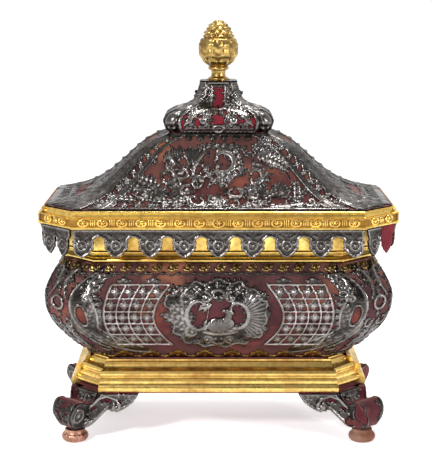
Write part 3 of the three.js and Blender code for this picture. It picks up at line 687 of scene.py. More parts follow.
def shareOf(tree, value, low, high):
    node = tree.nodes.new("ShaderNodeMapRange")
    give(node, {"From Min": low, "From Max": high})
    tree.links.new(value, node.inputs["Value"])
    return node.outputs["Result"]


def alongAxis(tree, axis, kind="Object"):
    split = tree.nodes.new("ShaderNodeSeparateXYZ")
    tree.links.new(tree.nodes.new("ShaderNodeTexCoord").outputs[kind], split.inputs["Vector"])
    return split.outputs[axis]


def ramp(tree, value, stops):
    node = tree.nodes.new("ShaderNodeValToRGB")
    elements = node.color_ramp.elements
    while len(elements) < len(stops):
        elements.new(0.5)
    for element, (place, colour) in zip(elements, stops):
        element.position = place
        element.color = (*colour, 1)
    tree.links.new(value, node.inputs["Fac"])
    return node.outputs["Color"]


def blendColours(tree, share, first, second, kind="MIX"):
    node = tree.nodes.new("ShaderNodeMix")
    node.data_type = "RGBA"
    node.blend_type = kind
    for value, socket in ((share, "Factor"), (first, "A"), (second, "B")):
        target = next(s for s in node.inputs if s.name == socket and s.enabled)
        if hasattr(value, "is_output"):
            tree.links.new(value, target)
        elif socket == "Factor":
            target.default_value = value
        else:
            target.default_value = (*value, 1)
    return next(s for s in node.outputs if s.enabled)


def tinted(tree, share, first, second):
    return blendColours(tree, share, first, second, "MULTIPLY")


def bump(tree, shader, value, strength, distance):
    node = tree.nodes.new("ShaderNodeBump")
    give(node, {"Strength": strength, "Distance": distance})
    tree.links.new(value, node.inputs["Height"])
    tree.links.new(node.outputs["Normal"], shader.inputs["Normal"])


def newMaterial(name):
    material = bpy.data.materials.new(name)
    material.use_nodes = True
    return material, material.node_tree, material.node_tree.nodes["Principled BSDF"]


def velvetMaterial(name, deep, pile, worn, wornFrom=0.56, wornTo=0.68, paintedShadeByHeight=()):
    material, tree, shader = newMaterial(name)
    blotches = noiseInto(tree, 22, 4, 0.6)
    patches = noiseInto(tree, 9, 5, 0.62, (3, 1, 2))
    fibre = noiseInto(tree, 900, 2, 0.7)
    wear = ramp(tree, patches, [(wornFrom, grey(0)), (wornTo, grey(1))])
    colour = blendColours(tree, wear, ramp(tree, blotches, [(0.3, deep), (0.68, pile)]), worn)
    # Painted shade low on the body and painted highlight high on it and on the roof, by height
    if paintedShadeByHeight:
        height = shareOf(tree, alongAxis(tree, "Z"), bodyLow * mm, deck * mm)
        colour = tinted(tree, 1.0, colour, ramp(tree, height, paintedShadeByHeight))
    grain = ramp(tree, fibre, [(0.3, grey(0.6)), (0.7, grey(1.15))])
    tree.links.new(tinted(tree, 0.8, colour, grain), shader.inputs["Base Color"])
    give(shader, {"Roughness": 0.9, "Sheen Weight": 0.3, "Sheen Roughness": 0.45,
                  "Sheen Tint": (0.9, 0.55, 0.5, 1), "Specular IOR Level": 0.15})
    bump(tree, shader, fibre, 0.35, 0.0008)
    return material


def metal(tree, shader, colour, clouds, rough, extra, shiny):
    # Rougher where the clouds are thin
    tree.links.new(colour, shader.inputs["Base Color"])
    roughness = ramp(tree, clouds, [(0.3, grey(rough + extra)), (shiny, grey(rough))])
    tree.links.new(roughness, shader.inputs["Roughness"])
    give(shader, {"Metallic": 1.0})


def silverMaterial(name, dark, light, rough, high=3.2):
    # Black in the hollows as painted shade over the tarnish, grey on the slopes, bright along the ridges as a
    # painted highlight, and duller on broad tops
    material, tree, shader = newMaterial(name)
    height = tree.nodes.new("ShaderNodeAttribute")
    height.attribute_name = "relief"
    clouds = noiseInto(tree, 45, 4, 0.6)
    middle = tuple(d + 0.28 * (l - d) for d, l in zip(dark, light))
    broad = tuple(0.45 * l for l in light)
    # Colour by relief height: painted shade in the hollows, painted highlight along the ridges
    raised = ramp(tree, shareOf(tree, height.outputs["Fac"], 0, high),
                  [(0.05, dark), (0.5, middle), (0.88, light), (1.0, broad)])
    stains = ramp(tree, clouds, [(0.35, (0.5, 0.44, 0.39)), (0.62, (1.15, 1.15, 1.17))])
    metal(tree, shader, tinted(tree, 0.85, raised, stains), clouds, rough, 0.16, 0.7)
    bump(tree, shader, noiseInto(tree, 420, 3, 0.6), 0.3, 0.0006)
    return material


def giltMaterial(name, shade, bright, rough=0.22, scale=16, shadedBand=()):
    material, tree, shader = newMaterial(name)
    clouds = noiseInto(tree, scale, 5, 0.65)
    fine = noiseInto(tree, 160, 3, 0.6)
    colour = ramp(tree, clouds, [(0.3, shade), (0.58, bright)])
    rubbed = ramp(tree, fine, [(0.35, (0.72, 0.66, 0.6)), (0.6, grey(1.05))])
    if shadedBand:
        # Painted shade: a brown ground in the sunk band between two heights
        height = shareOf(tree, alongAxis(tree, "Z"), (shadedBand[0] - 1) * mm, (shadedBand[1] + 1) * mm)
        plain, shadeBrown = grey(1), (0.34, 0.24, 0.16)
        colour = tinted(tree, 1.0, colour,
                        ramp(tree, height, [(0.04, plain), (0.12, shadeBrown), (0.86, shadeBrown), (0.95, plain)]))
    metal(tree, shader, tinted(tree, 0.7, colour, rubbed), clouds, rough, 0.2, 0.65)
    bump(tree, shader, fine, 0.25, 0.0008)
    return material


frieze = {"low": 4.6, "high": 13.8, "middle": 9.3}
# Painted by height: painted shade darkens the foot of the body to crimson, and a painted highlight lightens
# its top and the roof, which is brown with bare orange patches
velvetPaintedShade = [(0.02, (1.0, 0.3, 0.55)), (0.2, (1.0, 0.55, 0.75)), (0.4, (1.6, 1.6, 1.7)),
               (0.72, (1.4, 0.8, 0.85)), (0.88, (1.5, 1.4, 1.25))]
velvet = velvetMaterial("worn_velvet", (0.016, 0.007, 0.007), (0.075, 0.03, 0.028), (0.17, 0.066, 0.036),
                        0.53, 0.66, velvetPaintedShade)
redVelvet = velvetMaterial("red_velvet", (0.07, 0.006, 0.01), (0.22, 0.016, 0.028), (0.24, 0.07, 0.05),
                           0.62, 0.76)
silver = silverMaterial("beaten_silver", (0.008, 0.006, 0.005), (0.36, 0.34, 0.325), 0.2)
paleSilver = silverMaterial("pale_silver", (0.02, 0.017, 0.016), (0.5, 0.46, 0.44), 0.28, 2.4)
gildedSilver = silverMaterial("gilded_silver", (0.04, 0.024, 0.01), (0.62, 0.42, 0.16), 0.28, 2.6)
gilt = giltMaterial("bright_gilt", (0.46, 0.25, 0.06), (0.92, 0.68, 0.2))
warmGilt = giltMaterial("warm_gilt", (0.42, 0.22, 0.06), (0.88, 0.62, 0.19), 0.24, 11)
oldGilt = giltMaterial("old_gilt", (0.14, 0.08, 0.025), (0.5, 0.34, 0.11), 0.26, 40)
# The frieze's sunk ground carries a painted shade
friezeGilt = giltMaterial("frieze_gilt", (0.46, 0.25, 0.06), (0.92, 0.68, 0.2),
                          shadedBand=(corniceLow + frieze["low"], corniceLow + frieze["high"]))
copper = giltMaterial("rubbed_copper", (0.22, 0.09, 0.06), (0.56, 0.31, 0.22), 0.38, 60)
brownWood = velvetMaterial("brown_wood", (0.12, 0.045, 0.025), (0.27, 0.12, 0.07), (0.4, 0.24, 0.17))
dustyVelvet = velvetMaterial("dusty_velvet", (0.03, 0.006, 0.008), (0.12, 0.014, 0.024), (0.24, 0.08, 0.07),
                             0.56, 0.7)
print("materials ready")


# Velvet over the box, the lid and the lantern

def bodyRing(z, wall=0):
    inset, cant, _ = bodyAt(z)
    return insetRing(inset + wall, cant - cantShare * wall, z, 6)


def velvetBody():
    levels = np.linspace(bodyLow, shoulder, 61)
    wall, floor = body["wall"], bodyLow + body["floor"]
    neck, neckCant, bend = body["neckInset"], body["neckCant"], shoulder - body["wall"] / 2
    inner, innerCant = neck + wall, neckCant - cantShare * wall
    points, faces = loft([
        *[bodyRing(z) for z in levels],
        insetRing(neck, neckCant, shoulder, 6),
        insetRing(neck, neckCant, mouth, 6),
        insetRing(inner, innerCant, mouth, 6),
        insetRing(inner, innerCant, bend, 6),
        *[bodyRing(z, wall) for z in levels[(levels > floor) & (levels < bend)][::-2]],
        bodyRing(floor, wall),
    ])
    meshPiece("velvet_body", points, faces, velvet, ("casket_body",))


def velvetRoof():
    wall, inner, edge = roof["wall"], roof["frameInner"], roof["frameEdge"]
    innerCant, edgeCant = 50 - cantShare * inner, 50 - cantShare * edge

    def lining(t):
        hx, hy, cant, z = roofAt(t)
        return planRing(hx - 0.7 * wall, hy - 0.7 * wall, max(cant - 3.7, 3), z - 1.3 * wall, 6, 0.6)

    hx, hy, _, _ = roofAt(0.94)
    points, faces = loft([
        planRing(hx - wall, hy - wall, 3, deck - 15, 6, 0.6),
        *map(lining, np.linspace(0.88, 0.3, 12)),
        insetRing(inner, innerCant, lidLow + 14, 6),
        insetRing(inner, innerCant, lidLow, 6),
        insetRing(edge, edgeCant, lidLow, 6),
        insetRing(edge, edgeCant, eave - 0.4, 6),
        *[planRing(*roofAt(t), 6, 1.5) for t in np.linspace(0, 1, 49)],
    ])
    meshPiece("velvet_roof", points, faces, velvet, ("lid_roof",))


def velvetLantern():
    points, faces = loft([planRing(*lanternAt(share), 5, 1.0) for share in np.linspace(0, 1, 41)])
    meshPiece("velvet_lantern", points, faces, redVelvet, ("lantern",))


velvetBody()
velvetRoof()
velvetLantern()
print("velvet laid")


# Gilt mouldings, each strip swept between two corners of the plan

def arcTo(points, target, bulge, steps=5):
    # Adds a curve from the last point; a positive bulge swells to the left of the way it runs
    (x0, z0), (x1, z1) = points[-1], target
    dx, dz = x1 - x0, z1 - z0
    for i in range(1, steps + 1):
        share = i / steps
        swell = bulge * 4 * share * (1 - share)
        points.append((x0 + dx * share - dz * swell, z0 + dz * share + dx * swell))


def sweepStrip(name, section, cantAt, side, material, replaced):
    # A section carried from one corner of a side to the other
    rings = []
    for way in (-1, 1):
        ring = []
        for inset, z in section:
            plan = corniceX - inset, corniceY - inset, cantAt(inset)
            ring.append((*spotOn(side, (halfLength(side, *plan) - 0.3) * way, *plan), z))
        rings.append(ring)
    points, faces = loft(rings)
    meshPiece(name, points, faces, material, (replaced,), 32)


plinth = {"foot": 39, "step": 24, "cant": 42, "setback": 8, "lift": 4, "depth": 3}


def plinthSection():
    foot, inner = plinth["foot"], plinth["foot"] + plinth["step"]
    low, high = plinthLow, plinthTop
    points = [(foot + 4, low), (foot + 2, low)]
    arcTo(points, (foot + 2.2, low + 10.5), 0.2, 8)
    arcTo(points, (foot + 4.5, low + 12), 0.0, 1)
    arcTo(points, (foot + 5.5, low + 18.5), 0.05, 4)
    points += [(foot + 8, low + 19.2), (foot + 8.2, low + 21)]
    arcTo(points, (foot + 9, low + 29), 0.22, 7)
    points += [(foot + 10.5, low + 29.4)]
    arcTo(points, (inner - 3.5, high - 4), -0.22, 7)
    points += [(inner - 3.2, high - 3), (inner - 0.6, high - 2.6), (inner, high - 2), (inner, high)]
    return points


def buildPlinth():
    # The strips at the cut corners are lower and stand further in
    def cantAt(inset):
        return plinth["cant"] - cantShare * (inset - plinth["foot"])

    for side, label in enumerate(sideNames):
        section = plinthSection()
        rear = plinth["foot"] + plinth["step"] + plinth["depth"]
        if side % 2:
            squeeze = 1 - plinth["lift"] / (plinthTop - plinthLow)
            section = [(inset + plinth["setback"], plinthLow + plinth["lift"] + (z - plinthLow) * squeeze)
                       for inset, z in section]
            rear += plinth["setback"]
        section += [(rear, section[-1][1]), (rear, section[0][1])]
        sweepStrip(f"gilt_plinth_{label}", section, cantAt, side, warmGilt, f"plinth_{label}")


cornice = {"cant": 50, "edge": 13.7, "pitch": 24.6, "cutShift": 2.5, "roundelInset": 1.9}


def corniceSection():
    low, top = corniceLow, corniceTop
    points = [(cornice["edge"], low), (3, low)]
    arcTo(points, (2.2, low + 3.4), 0.3, 5)
    points += [(0.9, low + 3.8), (2.2, low + frieze["low"]), (2.2, low + frieze["high"]), (0.9, low + 14.6),
               (1.6, low + 15.4)]
    arcTo(points, (8.4, low + 20), -0.2, 6)
    arcTo(points, (8.6, top), 0.5, 6)
    points += [(cornice["edge"], top)]
    return points


def ball(segments, rings, radius, place=(0, 0, 0), scale=(1, 1, 1)):
    bpy.ops.mesh.primitive_uv_sphere_add(segments=segments, ring_count=rings, radius=radius, location=place)
    bpy.context.object.scale = scale
    return bpy.context.object


def roundel():
    # One roundel of the frieze: an oval ring with a leafy knob, facing -Y
    deselect()
    bpy.ops.mesh.primitive_torus_add(major_radius=5.0, minor_radius=1.35, major_segments=20, minor_segments=7,
                                     rotation=(math.pi / 2, 0, 0))
    ring = bpy.context.object
    ring.scale = (1.3, 0.9, 1.3)
    knob = ball(14, 8, 2.1)
    turns = [i * math.pi / 3 for i in range(6)]
    petals = [ball(8, 5, 1.3, (3.1 * math.cos(turn), 0, 2.6 * math.sin(turn)), (1.0, 0.8, 0.75))
              for turn in turns]
    return joinShape([ring, knob, *petals])


def reed():
    deselect()
    return joinShape([ball(8, 7, 1, scale=(0.85, 0.75, 4.4))])


def joinShape(parts):
    # Applies, joins and takes the shape out of the scene, as points and faces to be copied
    deselect()
    for part in parts:
        part.select_set(True)
    bpy.context.view_layer.objects.active = parts[0]
    bpy.ops.object.transform_apply(location=True, rotation=True, scale=True)
    if len(parts) > 1:
        bpy.ops.object.join()
    whole = bpy.context.object
    mesh = whole.data
    points = np.array([v.co[:] for v in mesh.vertices])
    faces = [tuple(p.vertices) for p in mesh.polygons]
    bpy.data.objects.remove(whole)
    bpy.data.meshes.remove(mesh)
    return points, faces


class Gathering:
    # Copies of small shapes, gathered into one piece
    def __init__(self):
        self.points, self.faces, self.count = [], [], 0

    def add(self, shape, place, turn, size=1.0):
        points, faces = shape
        self.points.append((points * size) @ np.array(Matrix.Rotation(turn, 3, "Z")).T + np.array(place))
        self.faces += [tuple(i + self.count for i in face) for face in faces]
        self.count += len(points)


def buildCornice():
    medal, rod = roundel(), reed()
    middle = corniceLow + frieze["middle"]

    def cantAt(inset):
        return cornice["cant"] - cantShare * inset

    for side, label in enumerate(sideNames):
        cut = side % 2 == 1
        shift = cornice["cutShift"] if cut else 0
        section = [(min(inset + shift, cornice["edge"]), z) for inset, z in corniceSection()]
        sweepStrip(f"gilt_cornice_{label}", section, cantAt, side, friezeGilt, f"cornice_{label}")
        inset = cornice["roundelInset"] + shift
        plan = corniceX - inset, corniceY - inset, cantAt(inset)
        length = halfLength(side, *plan)
        count = int((2 * length - 8) / cornice["pitch"])
        count = 2 if cut else max(1, count - (count + 1) % 2)
        pitch = 2 * length / (count + (0.2 if cut else 0.35))
        trim = Gathering()
        for i in range(count):
            u = (i - (count - 1) / 2) * pitch
            large = 1.18 if side == 0 and i == count // 2 else 1.0
            trim.add(medal, (*spotOn(side, u, *plan), middle), side * eighth, large)
            if i == count - 1:
                continue
            for step in (-1, 0, 1):
                trim.add(rod, (*spotOn(side, u + pitch / 2 + step * 2.7, *plan), middle), side * eighth)
        meshPiece(f"cornice_roundels_{label}", np.concatenate(trim.points), trim.faces, gilt, (), 50)


rim = {"lip": 34, "back": 43.7}


def buildRim():
    low = shoulder + 0.4
    lip = rim["lip"]
    points = [(rim["back"], low), (lip + 2, low), (lip + 1, low + 1.2)]
    arcTo(points, (lip + 1.5, low + 7.2), 0.32, 7)
    arcTo(points, (lip + 5, low + 11.5), -0.2, 5)
    points += [(lip + 4.4, low + 12.4)]
    arcTo(points, (lip + 4.4, low + 17), 0.25, 4)
    points += [(lip + 3.6, low + 18), (lip + 3.6, low + 38)]
    arcTo(points, (lip + 5, low + 42.5), 0.2, 4)
    points += [(lip + 6, low + 43.6), (rim["back"], low + 43.6)]
    rings = [insetRing(inset, body["neckCant"] + cantShare * (body["neckInset"] - inset), z, 2, 0.4)
             for inset, z in points]
    rings, faces = loft(rings, closed=True)
    meshPiece("gilt_rim", rings, faces, gilt, ("rim_moulding",), 32)


buildPlinth()
buildCornice()
buildRim()
print("mouldings swept")


# Silver lambrequin under the lid

lappets = {"inset": 6, "pitch": 46, "drop": 39, "band": 14.7, "half": 15, "cutShare": 0.75}


def lappetOutline(x, top, wide):
    # Band, hooked shoulders, tongue and point of one lappet
    band, tip = top - lappets["band"], top - lappets["drop"]
    right = [(x + wide, band), (x + wide + 1.5, band - 3.5), (x + wide, band - 8),
             (x + wide * 1.08, band - 11.5), (x + wide * 0.8, band - 14.5), (x + wide * 0.62, band - 18.5),
             (x + wide * 0.3, band - 22)]
    leftSide = [(2 * x - u, z) for u, z in right[::-1]]
    return right + [(x, tip)] + leftSide


def drawLambrequin(relief, half, count, pitch, wide):
    top = lidLow - 0.3
    band = top - lappets["band"]
    outline = [(-half, top), (half, top)]
    if count == 2:
        outline.append((half, band + 4))
    for i in range(count - 1, -1, -1):
        x = (i - (count - 1) / 2) * pitch
        outline += [(max(-half, min(half, u)), z) for u, z in lappetOutline(x, top, wide)]
        if i:
            gap = x - pitch / 2
            span = pitch / 2 - wide - 0.5
            for way in np.radians((35, 65, 90, 115, 145)):
                outline.append((gap + span * math.cos(way), band + span * 0.75 * math.sin(way) - 1))
    relief.plate(outline, 0.8, 1.7, 1.2, 0.7)
    _, spiral, _, leaf, flower, _, oval, _, _ = strokes(relief, band)
    for i in range(count):
        x = (i - (count - 1) / 2) * pitch
        flower(x, -7, 4.6, 6, 2.9)
        oval(x, -7, 6.4, 6.4, 1.1, 2.6)
        leaf(x, -14, -90, 8, 6, 1.6, 2)
        for flip in (1, -1):
            spiral(x + flip * 9, -4, 3.6, 90, flip * -330, 1.1, 3.0)
            leaf(x + flip * 3, 2, 90 - flip * 55, 11, 5, 2.4, 3)


def drawBareTongue(relief, *measures):
    drawLambrequin(relief, *measures)
    relief.h = np.where(relief.h > 0, 0.35, relief.h)


def buildLambrequin():
    inset = lappets["inset"]
    plan = corniceX - inset, corniceY - inset, cornice["cant"] - cantShare * inset
    for side, label in enumerate(sideNames):
        cut = side % 2 == 1
        half = halfLength(side, *plan) - (3 if cut else 2)
        pitch = half - 1 if cut else lappets["pitch"]
        count = 2 if cut else 2 * int((half - 8) // pitch) + 1
        wide = lappets["half"] * (lappets["cutShare"] if cut else 1)

        def hang(word, start, stop, draw, **options):
            beatenSheet(f"{word}_lambrequin_{label}", FlatSkin(inset, plan[2]), side, start, stop,
                        lidLow - lappets["drop"] - 3, lidLow + 1, cellAt(side, 0.9, 1.3),
                        lambda relief: draw(relief, half, count, pitch, wide), under=-1.3, **options)

        hang("silver", -half - 2, 0 if side == 1 else half + 2, drawLambrequin, hammer=0.08,
             replaced=(f"lambrequin_{label}",))
        if side == 1:
            # The outer tongue at the right cut corner has lost its silver
            hang("bare", 0, half + 2, drawBareTongue, hammer=0.3, slot="bright_velvet", material=redVelvet)


buildLambrequin()
print("lambrequin hung")


# Silver on the roof, drawn by how high each place looks above the eave

def hipX(side, up, inward):
    # Half width of a roof face, less a share of the way in from the hip
    ts = np.linspace(0, 1, 101)
    edge = halfLength(side, *roofAt(ts)[:3])
    return float(np.interp(up, roofUp(ts), edge) - inward * (1 - 0.62 * np.interp(up, roofUp(ts), ts)))


def ribPath(side, inward, low, high, steps=30):
    return [(hipX(side, up, inward), float(up)) for up in np.linspace(low, high, steps)]


def tapered(first, last, count=30):
    return list(np.linspace(first, last, count))


def drawHipBand(relief, side, bosses=9):
    low, high = 1, roofTop - 1

    def draw(half):
        half.ridge(ribPath(side, 31, low, high), tapered(3.4, 1.8), 2.8, 0.5)
        half.ridge(ribPath(side, 38, low, high), tapered(1.5, 0.9), 2.0)
        half.ridge(ribPath(side, 3.5, low, high), tapered(2.8, 1.8), 2.6, 0.45)
        for i in range(bosses):
            up = low + 7 + (high - low - 16) * i / (bosses - 1)
            x = hipX(side, up, 17.5)
            size = 6.8 - 3.0 * i / (bosses - 1)
            half.flower(x, up, size, 5, 3.4, 30 * i)
            half.pearl(x, up, size * 0.5, 4.4)
            half.leaf(x + size * 0.5, up + size * 0.4, 130, size * 1.7, size, 2.0, 2)
            half.leaf(x - size * 0.5, up - size * 0.4, 310, size * 1.5, size, 2.0, 2)
    relief.both(draw)


def rail(relief, edge, up, width, height, groove=0.0):
    relief.ridge([(-edge, up), (edge, up)], [width, width], height, groove)


def drawEave(relief, side):
    # Leafy band along the foot of a roof face
    edge = hipX(side, 2, 8)
    rail(relief, edge, 1.6, 1.4, 1.8)
    rail(relief, edge, 6.6, 0.9, 1.4)
    count = int(2 * edge / 9)
    for i in range(count):
        x = -edge + 2 * edge * (i + 0.5) / count
        relief.leaf(x, 1.5, 55 if i % 2 else 125, 10, 6.5, 2.0, 3, 20 if i % 2 else -20)


def drawCrest(relief, side):
    # Scalloped trim close under the lantern
    edge = hipX(side, roofTop - 6, 10)
    rail(relief, edge, roofTop - 2, 1.6, 2.0)
    count = int(2 * edge / 8)
    for i in range(count):
        x = -edge + 2 * edge * (i + 0.5) / count
        relief.leaf(x, roofTop - 1.5, -90 + 35 * (-1) ** i, 11, 7, 2.2, 2)
        relief.pearl(x, roofTop - 8, 1.5, 1.8)


def drawRoofFront(relief):
    c, s, f, leaf, flower, pearl, _, _, ridge = strokes(relief)
    # Left: a hooked C under a fan, a volute with a feather, a toothed C over a spray of leaves
    f(-55, 61, 27, 78, 148, 7, 2.6, 1)
    c(-70.6, 66, 9, 20, 120, 2.0, 3.2)
    leaf(-84, 68, 130, 14, 8, 2.2, 3)
    f(-37, 51, 38, 62, 112, 9, 2.6, 1)
    ridge([(-35, 50), (-32, 62), (-25, 74), (-14.8, 83)], [1.7, 2.1, 1.8, 1.0], 3.4, 0.4)
    s(-49.5, 52, 10.5, 200, 400, 2.4, 3.2)
    c(-71.4, 47, 11.5, 0, 125, 2.4, 3.2, teeth=8, reach=9)
    f(-62, 36, 17, 250, 340, 6, 2.4, 1)
    leaf(-84, 37, 170, 34, 17, 2.6, 5, -25)
    leaf(-78, 33, 205, 40, 18, 2.6, 5, 25)
    f(-92, 31, 26, 290, 350, 7, 2.4, 1)
    leaf(-96, 26, 165, 36, 14, 2.4, 5, -35)
    c(-104, 20, 9, 100, 120, 2.0, 3.0, teeth=4, reach=6)
    leaf(-112, 14, 172, 40, 13, 2.4, 6, 10)
    leaf(-118, 27, 150, 20, 12, 2.2, 3)
    leaf(-138, 9, 175, 40, 10, 2.2, 6)
    # Shell and scrolls below the volute
    f(-47, 26, 19, 100, 300, 9, 2.8, 1)
    s(-44, 27, 9, 60, 420, 2.0, 3.2)
    c(-25, 38, 10, 160, 120, 2.3, 3.2, teeth=4, reach=6)
    c(-29, 15, 10, 250, 120, 2.1, 3.0, teeth=4, reach=5)
    leaf(-42, 14, 185, 32, 12, 2.2, 4)
    leaf(-60, 11, 176, 34, 11, 2.2, 5)
    # The middle: a great C with radiating leaves over a bunch of flowers
    c(3.8, 67, 16.5, 0, 135, 3.0, 3.8, teeth=11, reach=13)
    leaf(-12, 83, 170, 18, 9, 2.2, 3)
    leaf(10, 86, 25, 22, 10, 2.4, 3, -20)
    leaf(-4, 88, 158, 22, 9, 2.4, 3, 18)
    for x, up, size in ((-12, 50, 6), (-3, 55, 5.5), (6, 49, 6.5), (-6, 41, 6.5), (5, 38, 6), (14, 53, 5),
                        (-17, 58, 5), (15, 42, 5)):
        flower(x, up, size, 6, 3.4, 30 * x)
    for x, up in ((-18, 48), (0, 46), (12, 46), (-1, 61), (20, 58), (21, 49), (-12, 36), (11, 33), (-22, 62)):
        pearl(x, up, 2.4, 3.0)
    leaf(-18, 44, 190, 16, 9, 2.4, 3)
    c(22.7, 27, 10.5, 280, 120, 2.4, 3.4, teeth=5, reach=6)
    c(17, 10, 11.5, 270, 115, 2.4, 3.2, teeth=4, reach=5)
    f(0, 22, 17, 200, 330, 8, 2.4, 1)
    s(-8, 14, 7, 90, 400, 1.8, 3.0)
    leaf(-4, 8, 176, 24, 10, 2.2, 3)
    # Right: a C with teeth, the great feather leaf and a spray along the foot
    c(48, 47, 11.5, 0, 125, 2.5, 3.4, teeth=8, reach=11)
    leaf(38, 54, 150, 15, 9, 2.6, 3)
    leaf(28, 53, 25, 14, 8, 2.4, 3)
    leaf(56, 77, 352, 46, 24, 3.0, 8, -38)
    leaf(54, 80, 30, 34, 15, 2.6, 5, -28)
    leaf(48, 82, 55, 26, 14, 2.6, 4, -20)
    leaf(58, 86, 60, 20, 12, 2.6, 3)
    c(61, 71, 8, 70, 110, 1.9, 3.0)
    for i in range(9):
        pearl(70 + 3.1 * i, 63 - 0.7 * i - 0.04 * i * i, 1.9, 2.6)
    leaf(40, 76, 120, 16, 9, 2.4, 3)
    s(43, 77, 5, 0, 400, 1.4, 2.4)
    leaf(34, 27, 20, 30, 14, 2.6, 4, -30)
    f(56, 19, 15, 20, 200, 8, 2.6, 1)
    c(50, 22, 8, 200, 120, 2.0, 3.0, teeth=3, reach=4)
    leaf(62, 16, 40, 30, 14, 2.6, 5, -35)
    f(84, 22, 16, 10, 170, 8, 2.6, 1)
    flower(87, 23, 7, 6, 3.2)
    ridge([(77, 5), (95, 4.5), (115, 9)], [1.6, 2.2, 1.4], 2.8, 0.4)
    leaf(106, 9, 82, 34, 16, 2.6, 5, 18)
    leaf(98, 14, 130, 18, 10, 2.4, 3)
    s(125, 11, 7.5, 200, 400, 1.9, 3.0)
    leaf(116, 22, 60, 26, 11, 2.4, 4, -15)
    leaf(130, 8, 10, 44, 12, 2.4, 6, -8)
    leaf(36, 8, 5, 36, 11, 2.2, 4)
    relief.fringe(6.5, 8, 5, 1.7, 4, roofTop - 16, 0.25)
    for up in np.arange(6, roofTop - 24, 11):
        reach = hipX(0, up, 46)
        relief.fill(11, up, up + 5, -reach, reach)


def drawPlainRoof(side):
    def draw(relief):
        middle = roofTop * 0.47
        share = hipX(side, middle, 33) / 96

        def half(r):
            c, s, f, leaf, *_ = strokes(r, middle)
            c(26 * share, -2, 17 * share, 20, 125, 2.6, 2.8, teeth=6, reach=8)
            leaf(14 * share, -26, 10, 52 * share, 18, 2.4, 5, 25)
            leaf(46 * share, -28, 8, 52 * share, 14, 2.4, 5, 15)
            leaf(8 * share, 14, 62, 30, 14, 2.4, 4, -25)
            s(58 * share, -10, 9 * share, 180, 380, 2.0, 2.6)
            f(30 * share, 20, 15 * share, 20, 110, 5, 2.4)
            c(78 * share, -32, 9 * share, 60, 120, 1.8, 2.6)
            leaf(84 * share, -38, 4, 44 * share, 11, 2.2, 5)
            leaf(6 * share, -36, 60, 18, 10, 2.2, 3)
        relief.both(half)
        relief.fan(0, middle - 6, 22 * share, 35, 145, 7, 2.6)
        relief.flower(0, middle - 8, 10 * share, 6, 3.0)
        relief.oval(0, middle + 30, 7, 5, 1.6, 2.0)
        relief.fringe(8, 9, 6, 1.6, 4, roofTop - 14, 0.3)
        drawEave(relief, side)
        drawCrest(relief, side)
    return draw


def drawHip(relief):
    # The cut hips are covered in long leaves, with a bead along each edge
    ups = np.linspace(1, roofTop - 1, 40)
    ts = np.linspace(0, 1, 101)
    half = np.interp(ups, roofUp(ts), roofAt(ts)[2] / root2)
    for sign in (1, -1):
        path = [(sign * float(h - 1.0), float(up)) for h, up in zip(half, ups)]
        relief.ridge(path, tapered(2.2, 1.4, len(ups)), 2.4, 0.3)
    outline = [(float(h - 0.4), float(up)) for h, up in zip(half, ups)]
    outline += [(-u, up) for u, up in outline[::-1]]
    relief.plate(outline, 0.5, 0, 1, 0.5)
    rows = 11
    for i in range(rows):
        up = 2 + (roofTop - 14) * (i / rows) ** 1.2
        wide = float(np.interp(up, ups, half))
        for sign in (1, -1):
            relief.leaf(sign * 1.5, up, 90 - sign * 34, 10 + wide * 0.7, wide * 0.6, 2.6, 4, sign * 30)
            relief.leaf(sign * wide * 0.3, up, 90 - sign * 60, 4 + wide * 0.6, wide * 0.4, 2.4, 3)
        relief.leaf(0, up + 1, 90, 13, 3 + wide * 0.3, 3.0, 3)


def buildRoofSilver():
    skin = RoofSkin()

    def lay(name, side, width, top, cell, draw, *replaced):
        beatenSheet(name, skin, side, -width, width, 0.002, top, cell, draw, replaced)

    lay("roof_scrolls_front", 0, 176, 0.995, 0.85,
        lambda relief: (drawRoofFront(relief), drawEave(relief, 0), drawCrest(relief, 0)), "roof_mount_front")
    lay("roof_ribs_front", 0, 199, 0.998, 1.15, lambda relief: drawHipBand(relief, 0))
    for side, width in ((4, 199), (2, 84), (6, 84)):
        plain = drawPlainRoof(side)
        lay(f"roof_silver_{sideNames[side]}", side, width, 0.998, 1.5,
            lambda relief: (plain(relief), drawHipBand(relief, side)), f"roof_mount_{sideNames[side]}")
    for side in (1, 3, 5, 7):
        lay(f"hip_silver_{sideNames[side]}", side, 33, 0.998, 1.0, drawHip, f"hip_mount_{sideNames[side]}")


buildRoofSilver()
print("roof mounted")


# Silver on the body

cartoucheZ = bodyLow + 73


def drawLamb(relief):
    _, _, _, leaf, _, pearl, _, _, ridge = strokes(relief, cartoucheZ)
    # The lamb lies to the right, its head turned
    pearl(-4, -12, 12, 5.5)
    pearl(6, -11, 11.5, 6)
    pearl(13, -9, 9.5, 5.5)
    ridge([(12, -4), (14, 4), (14, 9)], [6.5, 5.5, 5], 5.5)
    ridge([(13, 10), (19, 8)], [5.2, 3.2], 6)
    leaf(11, 12, 200, 9, 4, 4.5, 1)
    ridge([(-8, -20), (4, -22), (16, -20), (22, -19)], [2.2, 2.4, 2.2, 1.6], 3.4)
    ridge([(14, -14), (23, -18)], [2.6, 1.8], 4)
    ridge([(-14, -12), (-19, -18)], [3, 1.8], 3.4)
    for i in range(26):
        angle = 2.4 * i
        reach = 1.9 * math.sqrt(i)
        pearl(3 + reach * 1.7 * math.cos(angle), -11 + reach * math.sin(angle), 2.2, 6.4)
    # The banner on its staff
    ridge([(-17, -8), (-12, 22)], [0.9, 0.9], 3)
    ridge([(-12, 19), (-18, 15), (-23, 16), (-27, 11)], [3.6, 4.2, 3.6, 1.4], 2.6)
    ridge([(-20, -23), (-6, -26), (10, -25), (26, -22)], [3, 3.4, 3.4, 2.4], 2.6)


